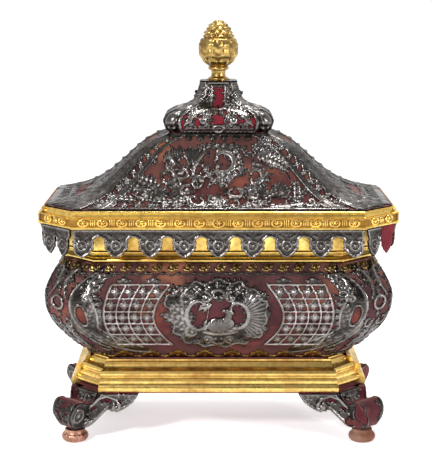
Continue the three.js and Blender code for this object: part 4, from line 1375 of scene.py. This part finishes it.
def drawCartouche(relief):
    c, s, f, leaf, flower, _, _, hole, _ = strokes(relief, cartoucheZ)
    frameEdge = [(-77, 18), (-70, 36), (-60, 33), (-53, 45), (-40, 42), (-33, 53), (-18, 46), (0, 56),
                 (16, 47), (32, 53), (38, 42), (54, 41), (56, 29), (70, 24), (64, 10), (69, -4),
                 (60, -16), (62, -32), (46, -33), (40, -46), (24, -42), (12, -53), (-6, -45),
                 (-20, -52), (-30, -42), (-48, -44), (-50, -30), (-66, -24), (-60, -10), (-74, 2),
                 (-64, 12)]
    relief.plate(smoothOutline([(x, cartoucheZ + rise) for x, rise in frameEdge], 1), 0.7, 1.6, 1.4, 0.35)
    for x, rise, rx, rz in ((-52, 22, 9, 4), (46, 29, 7, 4), (-32, -36, 7, 4), (38, -34, 8, 4),
                            (-62, 4, 6, 3), (12, 43, 5, 3), (-12, 43, 5, 3), (55, -16, 4, 7),
                            (-50, -14, 7, 4), (-28, 37, 5, 3), (0, -42, 4, 2.5), (60, 14, 3, 5)):
        hole(x, rise, rx, rz)
    hole(0, 1, 23, 27)
    hole(-22, 3, 17, 20)
    hole(21, 3, 15, 18)
    c(-24, 3, 20, 180, 128, 2.8, 3.4, 1.15)
    leaf(-36, -2, 160, 40, 20, 2.8, 5, -35)
    leaf(-40, -6, 172, 40, 20, 2.8, 5, -22)
    leaf(-42, 16, 168, 26, 14, 2.6, 4, 25)
    leaf(-34, -20, 172, 36, 17, 2.6, 5, -50)
    s(-36, -22, 11, 90, 420, 2.4, 3.0)
    f(-38, 24, 17, 85, 200, 7, 2.8)
    c(-42, 27, 9, 120, 120, 2.1, 3.0)
    leaf(-30, 31, 150, 26, 12, 2.4, 4, 20)
    leaf(-52, 34, 160, 20, 9, 2.2, 3)
    # Right side: the C with its shell fan
    c(22, 3, 19, 0, 122, 2.8, 3.4, 1.1)
    f(24, 2, 46, -62, 66, 15, 3.0, 0.98)
    hole(21, 3, 16.5, 18)
    c(22, 3, 19, 0, 122, 2.8, 3.4, 1.1)
    leaf(46, -24, 10, 24, 13, 2.4, 4, 30)
    leaf(50, 24, 40, 20, 10, 2.4, 3)
    # Top scrolls round a small C
    c(0, 31, 9, 90, 120, 2.0, 3.0, teeth=3, reach=5)
    for sign in (1, -1):
        s(sign * 17, 29, 8, 90, sign * 400, 1.9, 2.9)
        leaf(sign * 9, 36, 90 - sign * 42, 16, 9, 2.4, 3)
        leaf(sign * 22, 34, 90 - sign * 50, 20, 11, 2.4, 4)
        leaf(sign * 33, 31, 90 - sign * 66, 18, 10, 2.4, 3)
        flower(sign * 29, 40, 4.5, 5, 2.6)
    leaf(0, 40, 90, 11, 8, 2.6, 3)
    # Foot of the frame
    c(0, -36, 9, 270, 120, 2.0, 2.8, teeth=3, reach=4)
    for sign in (1, -1):
        s(sign * 16, -35, 8, 270, sign * -400, 1.9, 2.8)
        leaf(sign * 21, -38, -90 + sign * 70, 22, 11, 2.4, 4, sign * 25)
        leaf(sign * 8, -31, -90 + sign * 55, 17, 9, 2.4, 3)
        leaf(sign * 34, -30, -90 + sign * 105, 20, 11, 2.4, 4)
    relief.fringe(6, 8, 5, 1.8, skip=0.15, clear=(1, cartoucheZ, 20, 26))
    drawLamb(relief)


trellis = {"columns": 4, "rows": 5, "low": 27, "high": 120}


def drawTrellis(sign):
    low, high = bodyLow + trellis["low"], bodyLow + trellis["high"]
    columns, rows = trellis["columns"], trellis["rows"]

    def swell(z, below, above):
        return math.sin((z - low + below) / (high - low + below + above) * math.pi)

    def at(share, z):
        outer = 128 + 26 * swell(z, 18, 18) + 0.06 * (z - low)
        inner = 58 + 31 * swell(z, 6, 8)
        return sign * (inner + (outer - inner) * share)

    def draw(relief):
        levels = np.linspace(low + 1.5, high - 1.5, rows + 1)
        fine = np.linspace(low + 1.5, high - 1.5, 22)
        for i in range(columns + 1):
            edge = i in (0, columns)
            path = [(at(i / columns, z), float(z)) for z in fine]
            relief.ridge(path, [1.7 if edge else 1.3] * len(path), 2.6 if edge else 2.3)
        for j, z in enumerate(levels):
            edge = j in (0, rows)
            path = [(at(share, z), float(z)) for share in np.linspace(0, 1, 7)]
            relief.ridge(path, [1.6 if edge else 1.3] * 7, 2.4 if edge else 2.2)
        for j in range(rows):
            for i in range(columns):
                z = (levels[j] + levels[j + 1]) / 2
                x = at((i + 0.5) / columns, z)
                for turn in (0, 90, 180, 270):
                    relief.leaf(x, z, turn, 9.2, 6.6, 1.9, 1)
                relief.pearl(x, z, 2.2, 2.3)
        for share in (0.3, 0.8):
            x, z = at(share, high), high + 4
            relief.fan(x, z - 4, 9, 25, 155, 5, 2.0)
            relief.flower(x, z + 1, 4, 5, 2.4)
            for flip in (1, -1):
                relief.leaf(x + flip * 2, z - 3, 90 - flip * 70, 10, 5, 1.8, 3)
    return draw


def drawCorner(relief):
    # u runs along the wall from the middle of the cut corner towards the front
    def half(r):
        c, s, f, leaf, flower, _, oval, hole, ridge = strokes(r, bodyLow)
        # Hooked scroll, tall ridge and foliage at the top
        c(58, 121, 12, 180, 130, 2.6, 3.4, 0.9)
        leaf(46, 100, 78, 42, 18, 2.6, 6, 20)
        leaf(50, 112, 60, 28, 13, 2.6, 4, -30)
        ridge([(20, 142), (13, 134), (8, 122), (10, 110), (17, 100)],
                [1.8, 2.4, 2.8, 2.4, 1.6], 3.4, 0.4)
        c(18, 128, 9, 150, 120, 2.0, 2.8)
        # The broad pierced plate that carries the foliage
        mass = [(47, 137), (61, 124), (55, 117), (50, 110), (56, 98), (63, 84), (60, 66), (54, 56), (66, 46),
                (82, 33), (98, 20), (92, 11), (70, 13), (50, 22), (36, 38), (28, 58), (24, 82), (25, 106),
                (33, 125)]
        r.plate(smoothOutline([(u, bodyLow + rise) for u, rise in mass], 1), 0.8, 1.8, 1.5, 0.35)
        for u, rise, rx, rz in ((40, 112, 3, 6), (50, 50, 5, 3), (64, 34, 6, 3), (40, 46, 3, 6),
                                (52, 90, 3, 5)):
            hole(u, rise, rx, rz)
        oval(38, 76, 7, 14, 2.0, 3.6)
        leaf(46, 70, 72, 34, 14, 2.6, 5, -25)
        for i in range(7):
            share = i / 6
            leaf(46 + 9 * math.sin(math.pi * share), 62 + 46 * share, -8 + 30 * (share - 0.5) * 2,
                 17, 9, 2.4, 2)
        s(48, 100, 7, 0, 400, 1.9, 3.0)
        # Ridge that runs down to the foot
        ridge([(26, 66), (27, 50), (32, 34), (42, 22)], [2.0, 2.8, 2.6, 1.8], 3.2, 0.4)
        leaf(30, 60, -70, 34, 15, 2.4, 5, 25)
        leaf(38, 44, -35, 34, 16, 2.6, 5, -25)
        leaf(44, 34, -12, 34, 12, 2.4, 5, -10)
        flower(58, 43, 7, 6, 3.0)
        s(60, 28, 7.5, 90, -400, 1.9, 2.8)
        leaf(62, 26, -10, 26, 10, 2.2, 4)
        c(38, 24, 8, 230, 120, 1.9, 2.6)
        # On the cut face
        c(12, 66, 9, 300, 120, 2.0, 2.8)
        leaf(4, 58, -80, 30, 11, 2.4, 4)
        leaf(14, 40, -85, 24, 10, 2.2, 4)
        s(15, 48, 6, 60, 400, 1.6, 2.6)
        leaf(6, 112, 88, 26, 8, 2.4, 4)
        f(0, 24, 13, 40, 140, 6, 2.4)
    relief.both(half)
    relief.fringe(5.5, 8, 5, 1.8, skip=0.1)
    relief.fill(11, bodyLow + 8, bodyLow + 116, -50, 50)
    _, _, _, leaf, flower, _, oval, hole, _ = strokes(relief, bodyLow)
    oval(0, 92, 11.5, 9, 2.2, 3.2)
    flower(0, 75, 5, 5, 2.8)
    leaf(0, 102, 90, 14, 9, 2.6, 3)
    for sign in (1, -1):
        hole(sign * 38, 76, 5, 12)


def drawPlainCartouche(width, height):
    def draw(relief):
        def half(r):
            c, s, _, leaf, *_ = strokes(r, cartoucheZ)
            c(width * 0.42, 0, height * 0.62, 0, 126, 3.0, 3.0, 1.0, teeth=8, reach=9)
            leaf(width * 0.4, -height * 0.6, 20, width * 0.7, 16, 2.4, 5, 25)
            leaf(width * 0.4, height * 0.6, -20, width * 0.6, 14, 2.4, 5, -25)
            s(width * 0.22, height * 0.72, 9, 90, 400, 2.0, 2.6)
            s(width * 0.22, -height * 0.72, 9, 270, -400, 2.0, 2.6)
            leaf(width * 0.1, height * 0.78, 62, 20, 10, 2.2, 3)
            leaf(width * 0.1, -height * 0.78, -62, 20, 10, 2.2, 3)
        relief.both(half)
        _, _, f, _, flower, _, oval, _, _ = strokes(relief, cartoucheZ)
        f(0, height * 0.62, 18, 45, 135, 7, 2.6)
        f(0, -height * 0.62, 16, 225, 315, 7, 2.6)
        flower(0, 0, 13, 8, 3.4)
        oval(0, 0, 18, 18, 1.8, 2.2)
    return draw


def buildBodySilver():
    skin = BodySkin()

    def lay(name, side, left, right, low, high, cell, draw, replaced, **options):
        beatenSheet(name, skin, side, left, right, bodyLow + low, bodyLow + high, cell, draw, (replaced,),
                    **options)

    lay("lamb_frame", 0, -86, 82, 16, 128, 0.85, drawCartouche, "lamb_cartouche")
    for sign, label in ((-1, "left"), (1, "right")):
        left, right = sorted((sign * 52, sign * 166))
        lay(f"trellis_silver_{label}", 0, left, right, 22, 134, 0.85, drawTrellis(sign), f"trellis_{label}",
            material=paleSilver)
    for side in (1, 3, 5, 7):
        label = sideNames[side]
        lay(f"corner_silver_{label}", side, -92, 92, 8, 143, cellAt(side, 1.0, 1.5), drawCorner,
            f"corner_mount_{label}")
    for side, width, height in ((4, 84, 46), (2, 42, 44), (6, 42, 44)):
        label = sideNames[side]
        lay(f"cartouche_silver_{label}", side, -width * 1.5, width * 1.5, 12, 136, 1.4,
            drawPlainCartouche(width, height), f"cartouche_{label}")


def sideHalf(side, z):
    inset, cant, _ = bodyAt(z)
    return float(halfLength(side, corniceX - inset, corniceY - inset, cant))


borders = {"leafPitch": 21, "flowerPitch": 38}


def drawLeaves(edge, count, top):
    def draw(relief):
        _, _, _, leaf, _, pearl, *_ = strokes(relief, top)
        pitch = 2 * edge / count
        for i in range(count):
            x = -edge + pitch * (i + 0.5)
            leaf(x - 4, -8, 62, 12, 8, 2.2, 2, -40)
            leaf(x + 5, -8, 75, 11, 6, 2.2, 2, -30)
            pearl(x + 1, -7.5, 2, 2)
    return draw


def drawScallops(edge, count, top):
    def draw(relief):
        path, steps = [], 8 * count
        for i in range(steps + 1):
            x = -edge + 2 * edge * i / steps
            path.append((x, top - 13.2 + 3.2 * abs(math.cos(math.pi * i / 8)) ** 1.5))
        relief.ridge(path, [1.2] * len(path), 1.8)
        for i in range(count + 1):
            relief.leaf(-edge + 2 * edge / count * i - 4, top - 10, -20, 8, 4.5, 2.2, 1, 60)
    return draw


def drawHalfFlowers(edge, base):
    pitch = borders["flowerPitch"]
    count = int(2 * edge / pitch)

    def draw(relief):
        _, _, _, leaf, _, pearl, _, _, ridge = strokes(relief, base)
        rail(relief, edge, base + 1.6, 1.2, 1.6)
        for i in range(count):
            x = (i - (count - 1) / 2) * pitch
            for angle in (25, 57, 90, 123, 155):
                leaf(x, 4, angle, 14 if angle == 90 else 13, 7, 2.4, 2)
            pearl(x, 5, 3, 3)
        for i in range(count + 1):
            x = (i - count / 2) * pitch
            path = [(x + 9 * math.cos(way), 9 + 7 * math.sin(way)) for way in np.radians(range(190, 351, 20))]
            if abs(x) < edge - 9:
                ridge(path, [1.5] * len(path), 2.8)
    return draw


def buildBorders():
    skin = BodySkin()
    top, base = shoulder - 1, bodyLow + 1
    for side, label in enumerate(sideNames):
        edge, foot = sideHalf(side, top - 8), sideHalf(side, base + 6)
        count = max(2, round(2 * edge / borders["leafPitch"]))

        def lay(name, half, low, high, draw, *options):
            beatenSheet(f"{name}_{label}", skin, side, -half - 2, half + 2, low, high,
                        cellAt(side, 0.9, 1.4), draw, *options)

        lay("gilt_leaves", edge, top - 13, shoulder - 0.2, drawLeaves(edge, count, top),
            () if side else ("leaf_border",), "gilt", gildedSilver)
        lay("scalloped_edge", edge, top - 19, top - 6, drawScallops(edge, count, top))
        lay("flower_edge", foot, bodyLow + 0.3, bodyLow + 21, drawHalfFlowers(foot, base),
            () if side else ("flower_border",), "silver", silver if side else gildedSilver)


buildBodySilver()
buildBorders()
print("body mounted")


# Lantern and finial

def drawLanternSide(wide):
    def draw(relief):
        low, high = lanternLow, lanternTop
        rail(relief, wide, low + 2.5, 2.2, 2.4, 0.3)
        rail(relief, wide, low + 7.5, 1.1, 1.8)
        for i in range(int(wide / 3)):
            relief.pearl(-wide + 3 + i * 6, low + 5, 1.8, 2.4)
            relief.leaf(-wide + 3 + i * 6, low + 6, 90, 7, 5, 2.0, 2)
        relief.oval(0, low + 8, 7, 4.5, 1.7, 3.4)
        rail(relief, 24, high - 2.5, 2.6, 2.2)
        rail(relief, 24, high - 7, 1.4, 1.8)

        def half(r):
            # Leafy jambs of the tall window, scrolls on its foot and a strap over each slanted window
            c, s, _, leaf, *_, ridge = strokes(r, low)
            for i in range(6):
                up = 33 + i * 6
                leaf(10.5 + 0.2 * i, up, 68 - 6 * i, 12, 8, 2.6, 3)
                leaf(15, up, 30, 10, 7, 2.4, 2)
            ridge([(9.5, 34), (9, high - low - 8)], [1.6, 1.6], 2.6)
            ridge([(0, 32), (10, 33)], [1.8, 1.8], 2.6)
            leaf(1, 31, -35, 9, 6, 2.4, 2)
            c(15, 27, 6, 20, 125, 1.8, 3.2, teeth=4, reach=5)
            leaf(11, 18, 75, 18, 10, 2.8, 4, -20)
            leaf(11, 10, 30, 16, 9, 2.6, 3)
            s(22, 20, 5, 180, 400, 1.6, 3.0)
            ridge([(wide * 0.42, 32), (wide * 0.68, 27), (wide * 0.9, 18), (wide, 12)],
                    [2.0, 2.8, 2.8, 2.0], 3.4, 0.35)
            leaf(wide * 0.5, 34, -20, 24, 12, 2.8, 4, -20)
            leaf(wide * 0.9, 22, 150, 18, 9, 2.8, 3)
            leaf(wide * 0.75, 9, 60, 12, 9, 2.6, 3)
            leaf(22, 38, 40, 22, 12, 2.8, 4, 20)
        relief.both(half)
        relief.fringe(6, 7, 5, 1.8, low + 8, high - 6, 0.35)
    return draw


def drawLanternCorner(relief):
    low = lanternLow
    stations = np.linspace(0.02, 0.98, 30)

    def edge(extra):
        return [(float(lanternAt(s)[2] / root2 + extra), float(lanternAt(s)[3])) for s in stations]

    for sign in (1, -1):
        relief.ridge([(sign * u, z) for u, z in edge(3)], tapered(2.4, 1.5), 2.8, 0.35)
    outline = edge(2) + [(-u, z) for u, z in edge(2)[::-1]]
    relief.plate(outline, 0.6, 0, 1, 0.4)
    for z, size in ((low + 3, 12), (low + 13, 13), (low + 27, 13), (low + 38, 10), (low + 48, 8),
                    (low + 58, 7)):
        for sign in (1, -1):
            relief.leaf(0, z, 90 - sign * 32, size * 1.3, size * 0.8, 3.0, 3, sign * 20)
        relief.leaf(0, z - 1, 90, size * 1.5, size * 0.7, 3.4, 3)
    relief.pearl(0, low + 19, 10, 6)


def buildLantern():
    skin = LanternSkin()
    for side, label in enumerate(sideNames):
        cut = side % 2 == 1
        wide = 21 if cut else (50 if side in (0, 4) else 32)
        beatenSheet(f"lantern_{'strap' if cut else 'silver'}_{label}", skin, side, -wide, wide, 0.01, 0.99,
                    cellAt(side, 0.85, 1.25), drawLanternCorner if cut else drawLanternSide(wide - 3),
                    () if side else ("lantern_mounts",))


finial = {"stations": [(0, 0), (14.7, 0), (14.7, 2.5), (10.3, 5), (9.8, 9), (10.3, 13), (14, 14),
                       (14.6, 15.8), (14, 17.5), (13, 18.5), (17, 21), (22, 25), (27, 33), (28.2, 41),
                       (27.6, 49), (25.5, 55.5), (22, 57.5), (21.5, 62), (18.6, 68), (13.5, 75),
                       (6, 80.4), (0, 81)],
          "height": 83, "drawn": 81, "leaves": 8, "knobs": 9, "leafLow": 19, "leafHigh": 57, "knobRow": 5.2}


def buildCollar():
    # Silver cap round the top of the lantern, under the finial's disc
    top = lanternTop
    sizes = [(25.2, -6), (26.4, -4.5), (25.8, -3), (26.6, -1.5), (25.4, 0.2), (16.5, 0.2), (16.5, 0.05),
             (24.4, 0.05), (24.4, -6)]
    rings = [planRing(half, half * 0.84, half * 0.29, top + rise, 4, 1.0) for half, rise in sizes]
    points, faces = loft(rings, closed=True)
    meshPiece("lantern_collar", points, faces, silver, (), 32)


def turnedShape(stations, samples, around, factorAt, low=0.0, scale=(1, 1)):
    # Turned on an upright axis, each ring then pressed in and out by a factor round it
    stations = np.array(stations)
    run = runAlong(stations)
    places = np.linspace(0, run[-1], samples)[1:-1]
    turns = np.linspace(0, 2 * math.pi, around, endpoint=False)
    rings = []
    for r, z in zip(*(np.interp(places, run, stations[:, axis]) for axis in (0, 1))):
        out = r * factorAt(r, z, turns)
        rings.append(np.stack([out * np.cos(turns), out * np.sin(turns),
                               np.full_like(turns, low + z * scale[0] / scale[1])], -1))
    return loft(rings)


def coneFactor(r, z, turns):
    # Overlapping leaves on the bud, then rows of knobs
    low, high, row = finial["leafLow"], finial["leafHigh"], finial["knobRow"]
    if low < z < high:
        phase = finial["leaves"] * turns
        leafEdge = np.abs(np.sin(phase / 2))
        ribs = 0.5 + 0.5 * np.cos(phase * 3)
        rows = 0.5 + 0.5 * np.cos(2 * math.pi * ((z - low) / (high - low) * 3.2 - 0.5 * leafEdge))
        return 0.93 + 0.05 * leafEdge + 0.025 * ribs + 0.035 * rows
    if z > high:
        phase = finial["knobs"] * turns + math.pi * (int((z - high) // row) % 2)
        return 0.88 + 0.16 * np.abs(np.cos(phase / 2)) * math.sin(math.pi * ((z - high) % row) / row)
    return np.ones_like(turns)


def buildFinial():
    points, faces = turnedShape(finial["stations"], 150, 120, coneFactor, lanternTop + 0.3,
                                (finial["height"], finial["drawn"]))
    meshPiece("cone_finial", points, faces, oldGilt, ("finial",), 60)


buildLantern()
buildCollar()
buildFinial()
print("lantern and finial done")


# Feet

foot = {"cornerX": corniceX - plinth["foot"], "cornerY": corniceY - plinth["foot"], "wing": 16, "reach": 99,
        "sideReach": 78, "bunOffset": 8}
footPlaces = [("front_left", -1, -1), ("front_right", 1, -1), ("back_left", -1, 1), ("back_right", 1, 1)]


def extruded(outline, depth):
    # Outline in x and z, thickened along y from 0
    count = len(outline)
    points = [(x, 0, z) for x, z in outline] + [(x, depth, z) for x, z in outline]
    faces = [tuple(range(count)), tuple(range(2 * count - 1, count - 1, -1))]
    faces += [(j, j + count, (j + 1) % count + count, (j + 1) % count) for j in range(count)]
    return np.array(points), faces


def wingOutline(reach):
    top, low, share = footTop - 0.3, footLow, reach / foot["reach"]
    lower = [(6, 31), (13, low), (28, low), (46, 38), (55, 48), (67, 42), (77, 47), (91, 57), (99, top),
             (99, top), (46, top), (46, top), (38, 58), (24, 50), (9, 46)]
    return smoothOutline([(x * share, z) for x, z in lower])


def legOutline():
    top, low = footTop - 0.3, footLow
    return smoothOutline([(34, top), (34, top), (29, 57), (18, 54), (8, 61), (-4, 60), (-12, 49), (-11, 36),
                          (-3, low), (20, low), (36, 34), (50, top), (50, top)])


def legHalf(z):
    # The flat sides of the scroll lean out evenly towards the top
    return 12.5 + 0.27 * (np.asarray(z, float) - 20)


def placeFoot(points, signX, signY, swap=False):
    # From the corner inwards to the casket's frame; swap turns a front wing into a side wing
    points = np.asarray(points, float)
    if swap:
        points = points[..., [1, 0, 2]]
    corner = np.array([signX * foot["cornerX"], signY * foot["cornerY"], 0])
    return points * np.array([-signX, -signY, 1]) + corner


def diagonal(along, across, z):
    return np.stack(np.broadcast_arrays((along + across) / root2, (along - across) / root2, z), -1)


def outwards(faces, flipped):
    return [tuple(reversed(face)) for face in faces] if flipped else faces


def drawWing(reach, worn):
    share = reach / foot["reach"]

    def draw(relief):
        relief.plate(wingOutline(reach), 0.9, 1.3, 1.4, 0.4)
        for x, z, rx, rz in ((22, 34, 5.5, 4.5), (37, 46, 5, 4), (53, 58, 7, 4.5), (70, 57, 4, 3)):
            relief.hole(x * share, z, rx, rz)
        upper = [(x * share, z) for x, z in ((10, 43), (24, 46), (34, 53), (42, 62), (54, 66), (66, 62),
                                             (72, 54))]
        relief.ridge(upper, [1.6, 1.9, 2.0, 2.0, 2.0, 1.9, 1.6], 3.2, 0.35)
        lower = [(x * share, z) for x, z in ((26, 24), (38, 33), (48, 43), (56, 51))]
        relief.ridge(lower, [1.6, 2.0, 2.0, 1.4], 3.0, 0.3)
        relief.spiral(22 * share, 32, 10.5, 60, 420, 2.2, 3.2)
        relief.spiral(66 * share, 50, 6.5, 60, -400, 2.2, 3.4)
        for x, z, angle, length, width in ((74, 56, 25, 22, 9), (78, 64, 0, 18, 8), (84, 58, 40, 14, 7),
                                           (60, 66, 5, 26, 7), (44, 50, 40, 14, 7), (32, 40, 40, 14, 8),
                                           (58, 57, 200, 14, 6)):
            relief.leaf(x * share, z, angle, length * share, width, 2.4, 3)
        for x, z in ((60, 46), (64, 55), (70, 48), (47, 55), (30, 28), (16, 42)):
            relief.pearl(x * share, z, 1.9, 2.8)
        if worn:
            relief.hole(12 * share, 36, 9, 12)
            relief.hole(24 * share, 30, 7, 7)
    return draw


class WingSkin(FlatSkin):
    def __init__(self, signX, signY, swap=False):
        self.sides = (signX, signY, swap)

    # Along the outer face of one of a foot's two wings
    def place(self, side, u, level, lift):
        return placeFoot(np.stack(np.broadcast_arrays(u, 2 - lift, level), -1), *self.sides)


class LegSideSkin(WingSkin):
    # The two flat sides of the scroll; its first axis runs inwards along the diagonal
    def place(self, side, u, level, lift):
        across = (legHalf(level) + lift) * side
        return placeFoot(diagonal(u, across, level), *self.sides[:2])


class LegFrontSkin(WingSkin):
    # The panel over the scroll, across the cut corner
    def place(self, side, u, level, lift):
        along = np.interp(level, (46, 54, 57, footTop), (14, 24, 28, 33)) - lift
        return placeFoot(diagonal(along, u, level), *self.sides[:2])


rollPath = smoothOutline([(14, 62), (3, 62), (-7, 57), (-12, 46), (-11, 35), (-5, 26), (3, 22)])[4:-4]
rollHalf = 15


class RollSkin(WingSkin):
    # Round the outer face of the scroll, from its top down to its foot
    path = np.array(rollPath[::-1])
    run = runAlong(path)

    def along(self, level):
        return np.stack([np.interp(level, self.run, self.path[:, axis]) for axis in (0, 1)])

    def place(self, side, u, level, lift):
        along, z = self.along(level)
        dx, dz = self.along(level + 1) - self.along(level - 1)
        size = np.hypot(dx, dz) + 1e-6
        along, z = along - lift * dz / size, z + lift * dx / size
        return placeFoot(diagonal(along, u * legHalf(z) / rollHalf, z), *self.sides[:2])


def drawRoll(worn):
    def draw(relief):
        def half(r):
            r.ridge([(12.5, 2), (12.5, 52)], [1.9, 1.9], 2.2, 0.3)
            r.leaf(9, 4, 80, 20, 9, 2.2, 4)
            r.leaf(7, 24, 60, 16, 8, 2.2, 3)
            r.leaf(9, 36, 100, 16, 8, 2.2, 3)
        relief.both(half)
        relief.leaf(0, 2, 90, 24, 10, 2.6, 4)
        if worn:
            relief.hole(2, 34, 10, 18)
        else:
            relief.flower(0, 34, 5.5, 6, 2.6)
            relief.fringe(6, 7, 5, 1.6, skip=0.3)
    return draw


def drawLegSide(worn):
    def draw(relief):
        relief.plate(legOutline(), 0.7, 1.2, 1.4, 0.3)
        relief.spiral(3, 41, 15, 120, 430, 2.4, 3.0)
        if worn:
            relief.hole(3, 41, 8, 9)
        relief.oval(3, 41, 8.5, 9.5, 1.6, 2.8)
        relief.pearl(3, 41, 3.4, 3)
        relief.leaf(20, 28, 60, 26, 10, 2.4, 3)
        if worn:
            relief.hole(-6, 46, 13, 16)
            relief.hole(10, 26, 9, 7)
    return draw


def drawLegFront(relief):
    top = footTop - 0.6
    relief.plate([(-25, top), (25, top), (20, 49), (-20, 49)], 0.7, 1.0, 1.2, 0.4)

    def half(r):
        r.cScroll(9, 60, 6, 200, 125, 1.7, 2.8, teeth=4, reach=4)
        r.leaf(14, 54, 70, 14, 8, 2.4, 3)
        r.leaf(3, 50, 80, 16, 7, 2.6, 3)
        r.pearl(19, 65, 2.2, 2.6)
        r.hole(17.5, 60, 2.2, 3)
    relief.both(half)
    relief.flower(0, 62, 4.5, 5, 3)


def buildFeet():
    for label, signX, signY in footPlaces:
        mirrored = signX * signY < 0
        worn = signX > 0
        wings = (("long", foot["reach"], False), ("short", foot["sideReach"], True))
        points, faces = [], []
        for _, reach, swap in wings:
            wing, wingFaces = extruded(wingOutline(reach), foot["wing"])
            wing = placeFoot(wing + np.array([0, 2, 0]), signX, signY, swap)
            faces += [tuple(i + len(points) for i in face) for face in outwards(wingFaces, mirrored != swap)]
            points += wing.tolist()
        meshPiece(f"velvet_bracket_{label}", points, faces, dustyVelvet, (f"foot_{label}",))
        leg, legFaces = extruded(legOutline(), 2)
        leg = placeFoot(diagonal(leg[:, 0], (leg[:, 1] - 1) * legHalf(leg[:, 2]), leg[:, 2]), signX, signY)
        legFaces = outwards(legFaces, not mirrored)
        meshPiece(f"velvet_scroll_{label}", leg, legFaces, dustyVelvet)

        def mount(name, skin, side, left, right, low, high, draw, turned, scale=1.0):
            piece = beatenSheet(f"foot_{name}_{label}", skin, side, left, right, low, high,
                                0.8 if signY < 0 else 1.3, draw, under=-0.4, scale=scale)
            if turned:
                piece.data.flip_normals()

        low, high = footLow - 1, footTop + 1
        for name, reach, swap in wings:
            mount(f"silver_{name}", WingSkin(signX, signY, swap), 0, 2, reach + 2, low, high,
                  drawWing(reach, worn), mirrored == swap)
        for side, name in ((1, "inner"), (-1, "outer")):
            mount(f"volute_{name}", LegSideSkin(signX, signY), side, -13, 52, low, high, drawLegSide(worn),
                  mirrored == (side > 0), 0.8)
        mount("roll", RollSkin(signX, signY), 0, -rollHalf, rollHalf, 1, float(RollSkin.run[-1]) - 1,
              drawRoll(worn), not mirrored, 0.8)
        mount("panel", LegFrontSkin(signX, signY), 0, -28, 28, 46, footTop + 0.5, drawLegFront, not mirrored)


bun = {"stations": [(0, 0), (13, 0), (16.5, 1.5), (18.6, 4.5), (19, 7.5), (18, 10.5), (15.5, 12.6),
                    (14.6, 13.4), (14.4, 15), (14, 16), (14, 18), (0, 18)],
       "ribs": 16, "ribDepth": 0.05, "ribbedPast": 14.8}


def ribFactor(r, z, turns):
    depth = bun["ribDepth"] if r > bun["ribbedPast"] else 0
    return 1 - depth * (0.5 - 0.5 * np.cos(bun["ribs"] * turns))


def buildBuns():
    # Ribbed copper on the left, plain brown wood on the right
    for label, signX, signY in footPlaces:
        ribbed = signX < 0
        points, faces = turnedShape(bun["stations"], 46, 96, ribFactor if ribbed else lambda r, z, turns: 1)
        offset = foot["bunOffset"]
        place = np.array([signX * (foot["cornerX"] - offset), signY * (foot["cornerY"] - offset), 0])
        meshPiece(f"bun_{label}", points + place, faces, copper if ribbed else brownWood,
                  (f"bun_foot_{label}",), 50)


buildFeet()
buildBuns()
boardMaterials = frame["nodes"]["base_board"].data.materials
boardMaterials.clear()
boardMaterials.append(redVelvet)
print("feet built")


# Floor, light and camera

studio = {"room": 0.12, "backdrop": 1.0, "brightness": 1.06, "floorGlow": 0.52, "from": -0.9, "to": 0.7}
lights = {
    "key": {"place": (-1.5, -2.2, 1.7), "target": (0, 0, 0.25), "size": (0.24, 0.42), "power": 66},
    "fill": {"place": (2.0, -1.7, 1.0), "target": (0, 0, 0.22), "size": (0.2, 0.5), "power": 30},
    "top": {"place": (0.2, 0.4, 2.2), "target": (0, 0, 0.3), "size": (0.5, 0.35), "power": 26},
}
camera = {"place": (-0.0035, -1.864, 0.640), "pitch": 79.13, "lens": 101.8, "sensor": 36}


def buildStage():
    deselect()
    bpy.ops.mesh.primitive_plane_add(size=14, location=(0, 0, 0))
    floor = bpy.context.object
    floor.name = "floor"
    material, _, shader = newMaterial("pale_floor")
    give(shader, {"Base Color": (0.8, 0.8, 0.8, 1), "Roughness": 0.9, "Emission Color": (1, 1, 1, 1),
                  "Emission Strength": studio["floorGlow"]})
    floor.data.materials.append(material)
    # A white backdrop behind the casket, and a dim room in front of it
    world = bpy.context.scene.world or bpy.data.worlds.new("studio")
    bpy.context.scene.world = world
    world.use_nodes = True
    tree = world.node_tree
    background = tree.nodes["Background"]
    share = shareOf(tree, alongAxis(tree, "Y", "Generated"), studio["from"], studio["to"])
    tree.links.new(ramp(tree, share, [(0.0, grey(studio["room"])), (1.0, grey(studio["backdrop"]))]),
                   background.inputs["Color"])
    give(background, {"Strength": studio["brightness"]})


def buildLight(name, place, target, size, power):
    light = bpy.data.lights.new(name, "AREA")
    light.shape = "RECTANGLE"
    light.size, light.size_y = size
    light.energy = power
    lamp = bpy.data.objects.new(name, light)
    bpy.context.collection.objects.link(lamp)
    lamp.location = place
    lamp.rotation_euler = (Vector(target) - Vector(place)).to_track_quat("-Z", "Y").to_euler()


def buildCamera():
    data = bpy.data.cameras.new("camera")
    data.lens, data.sensor_width = camera["lens"], camera["sensor"]
    eye = bpy.data.objects.new("camera", data)
    bpy.context.collection.objects.link(eye)
    eye.location = camera["place"]
    eye.rotation_euler = (math.radians(camera["pitch"]), 0, 0)
    bpy.context.scene.camera = eye


buildStage()
for name, values in lights.items():
    buildLight(name, **values)
buildCamera()
bpy.context.scene.view_settings.view_transform = "Standard"

totals = sorted(((sum(len(p.vertices) - 2 for p in o.data.polygons), o.name) for o in bpy.data.objects
                 if o.type == "MESH" and not o.hide_render), reverse=True)
print("triangles", sum(count for count, _ in totals), totals[:8])
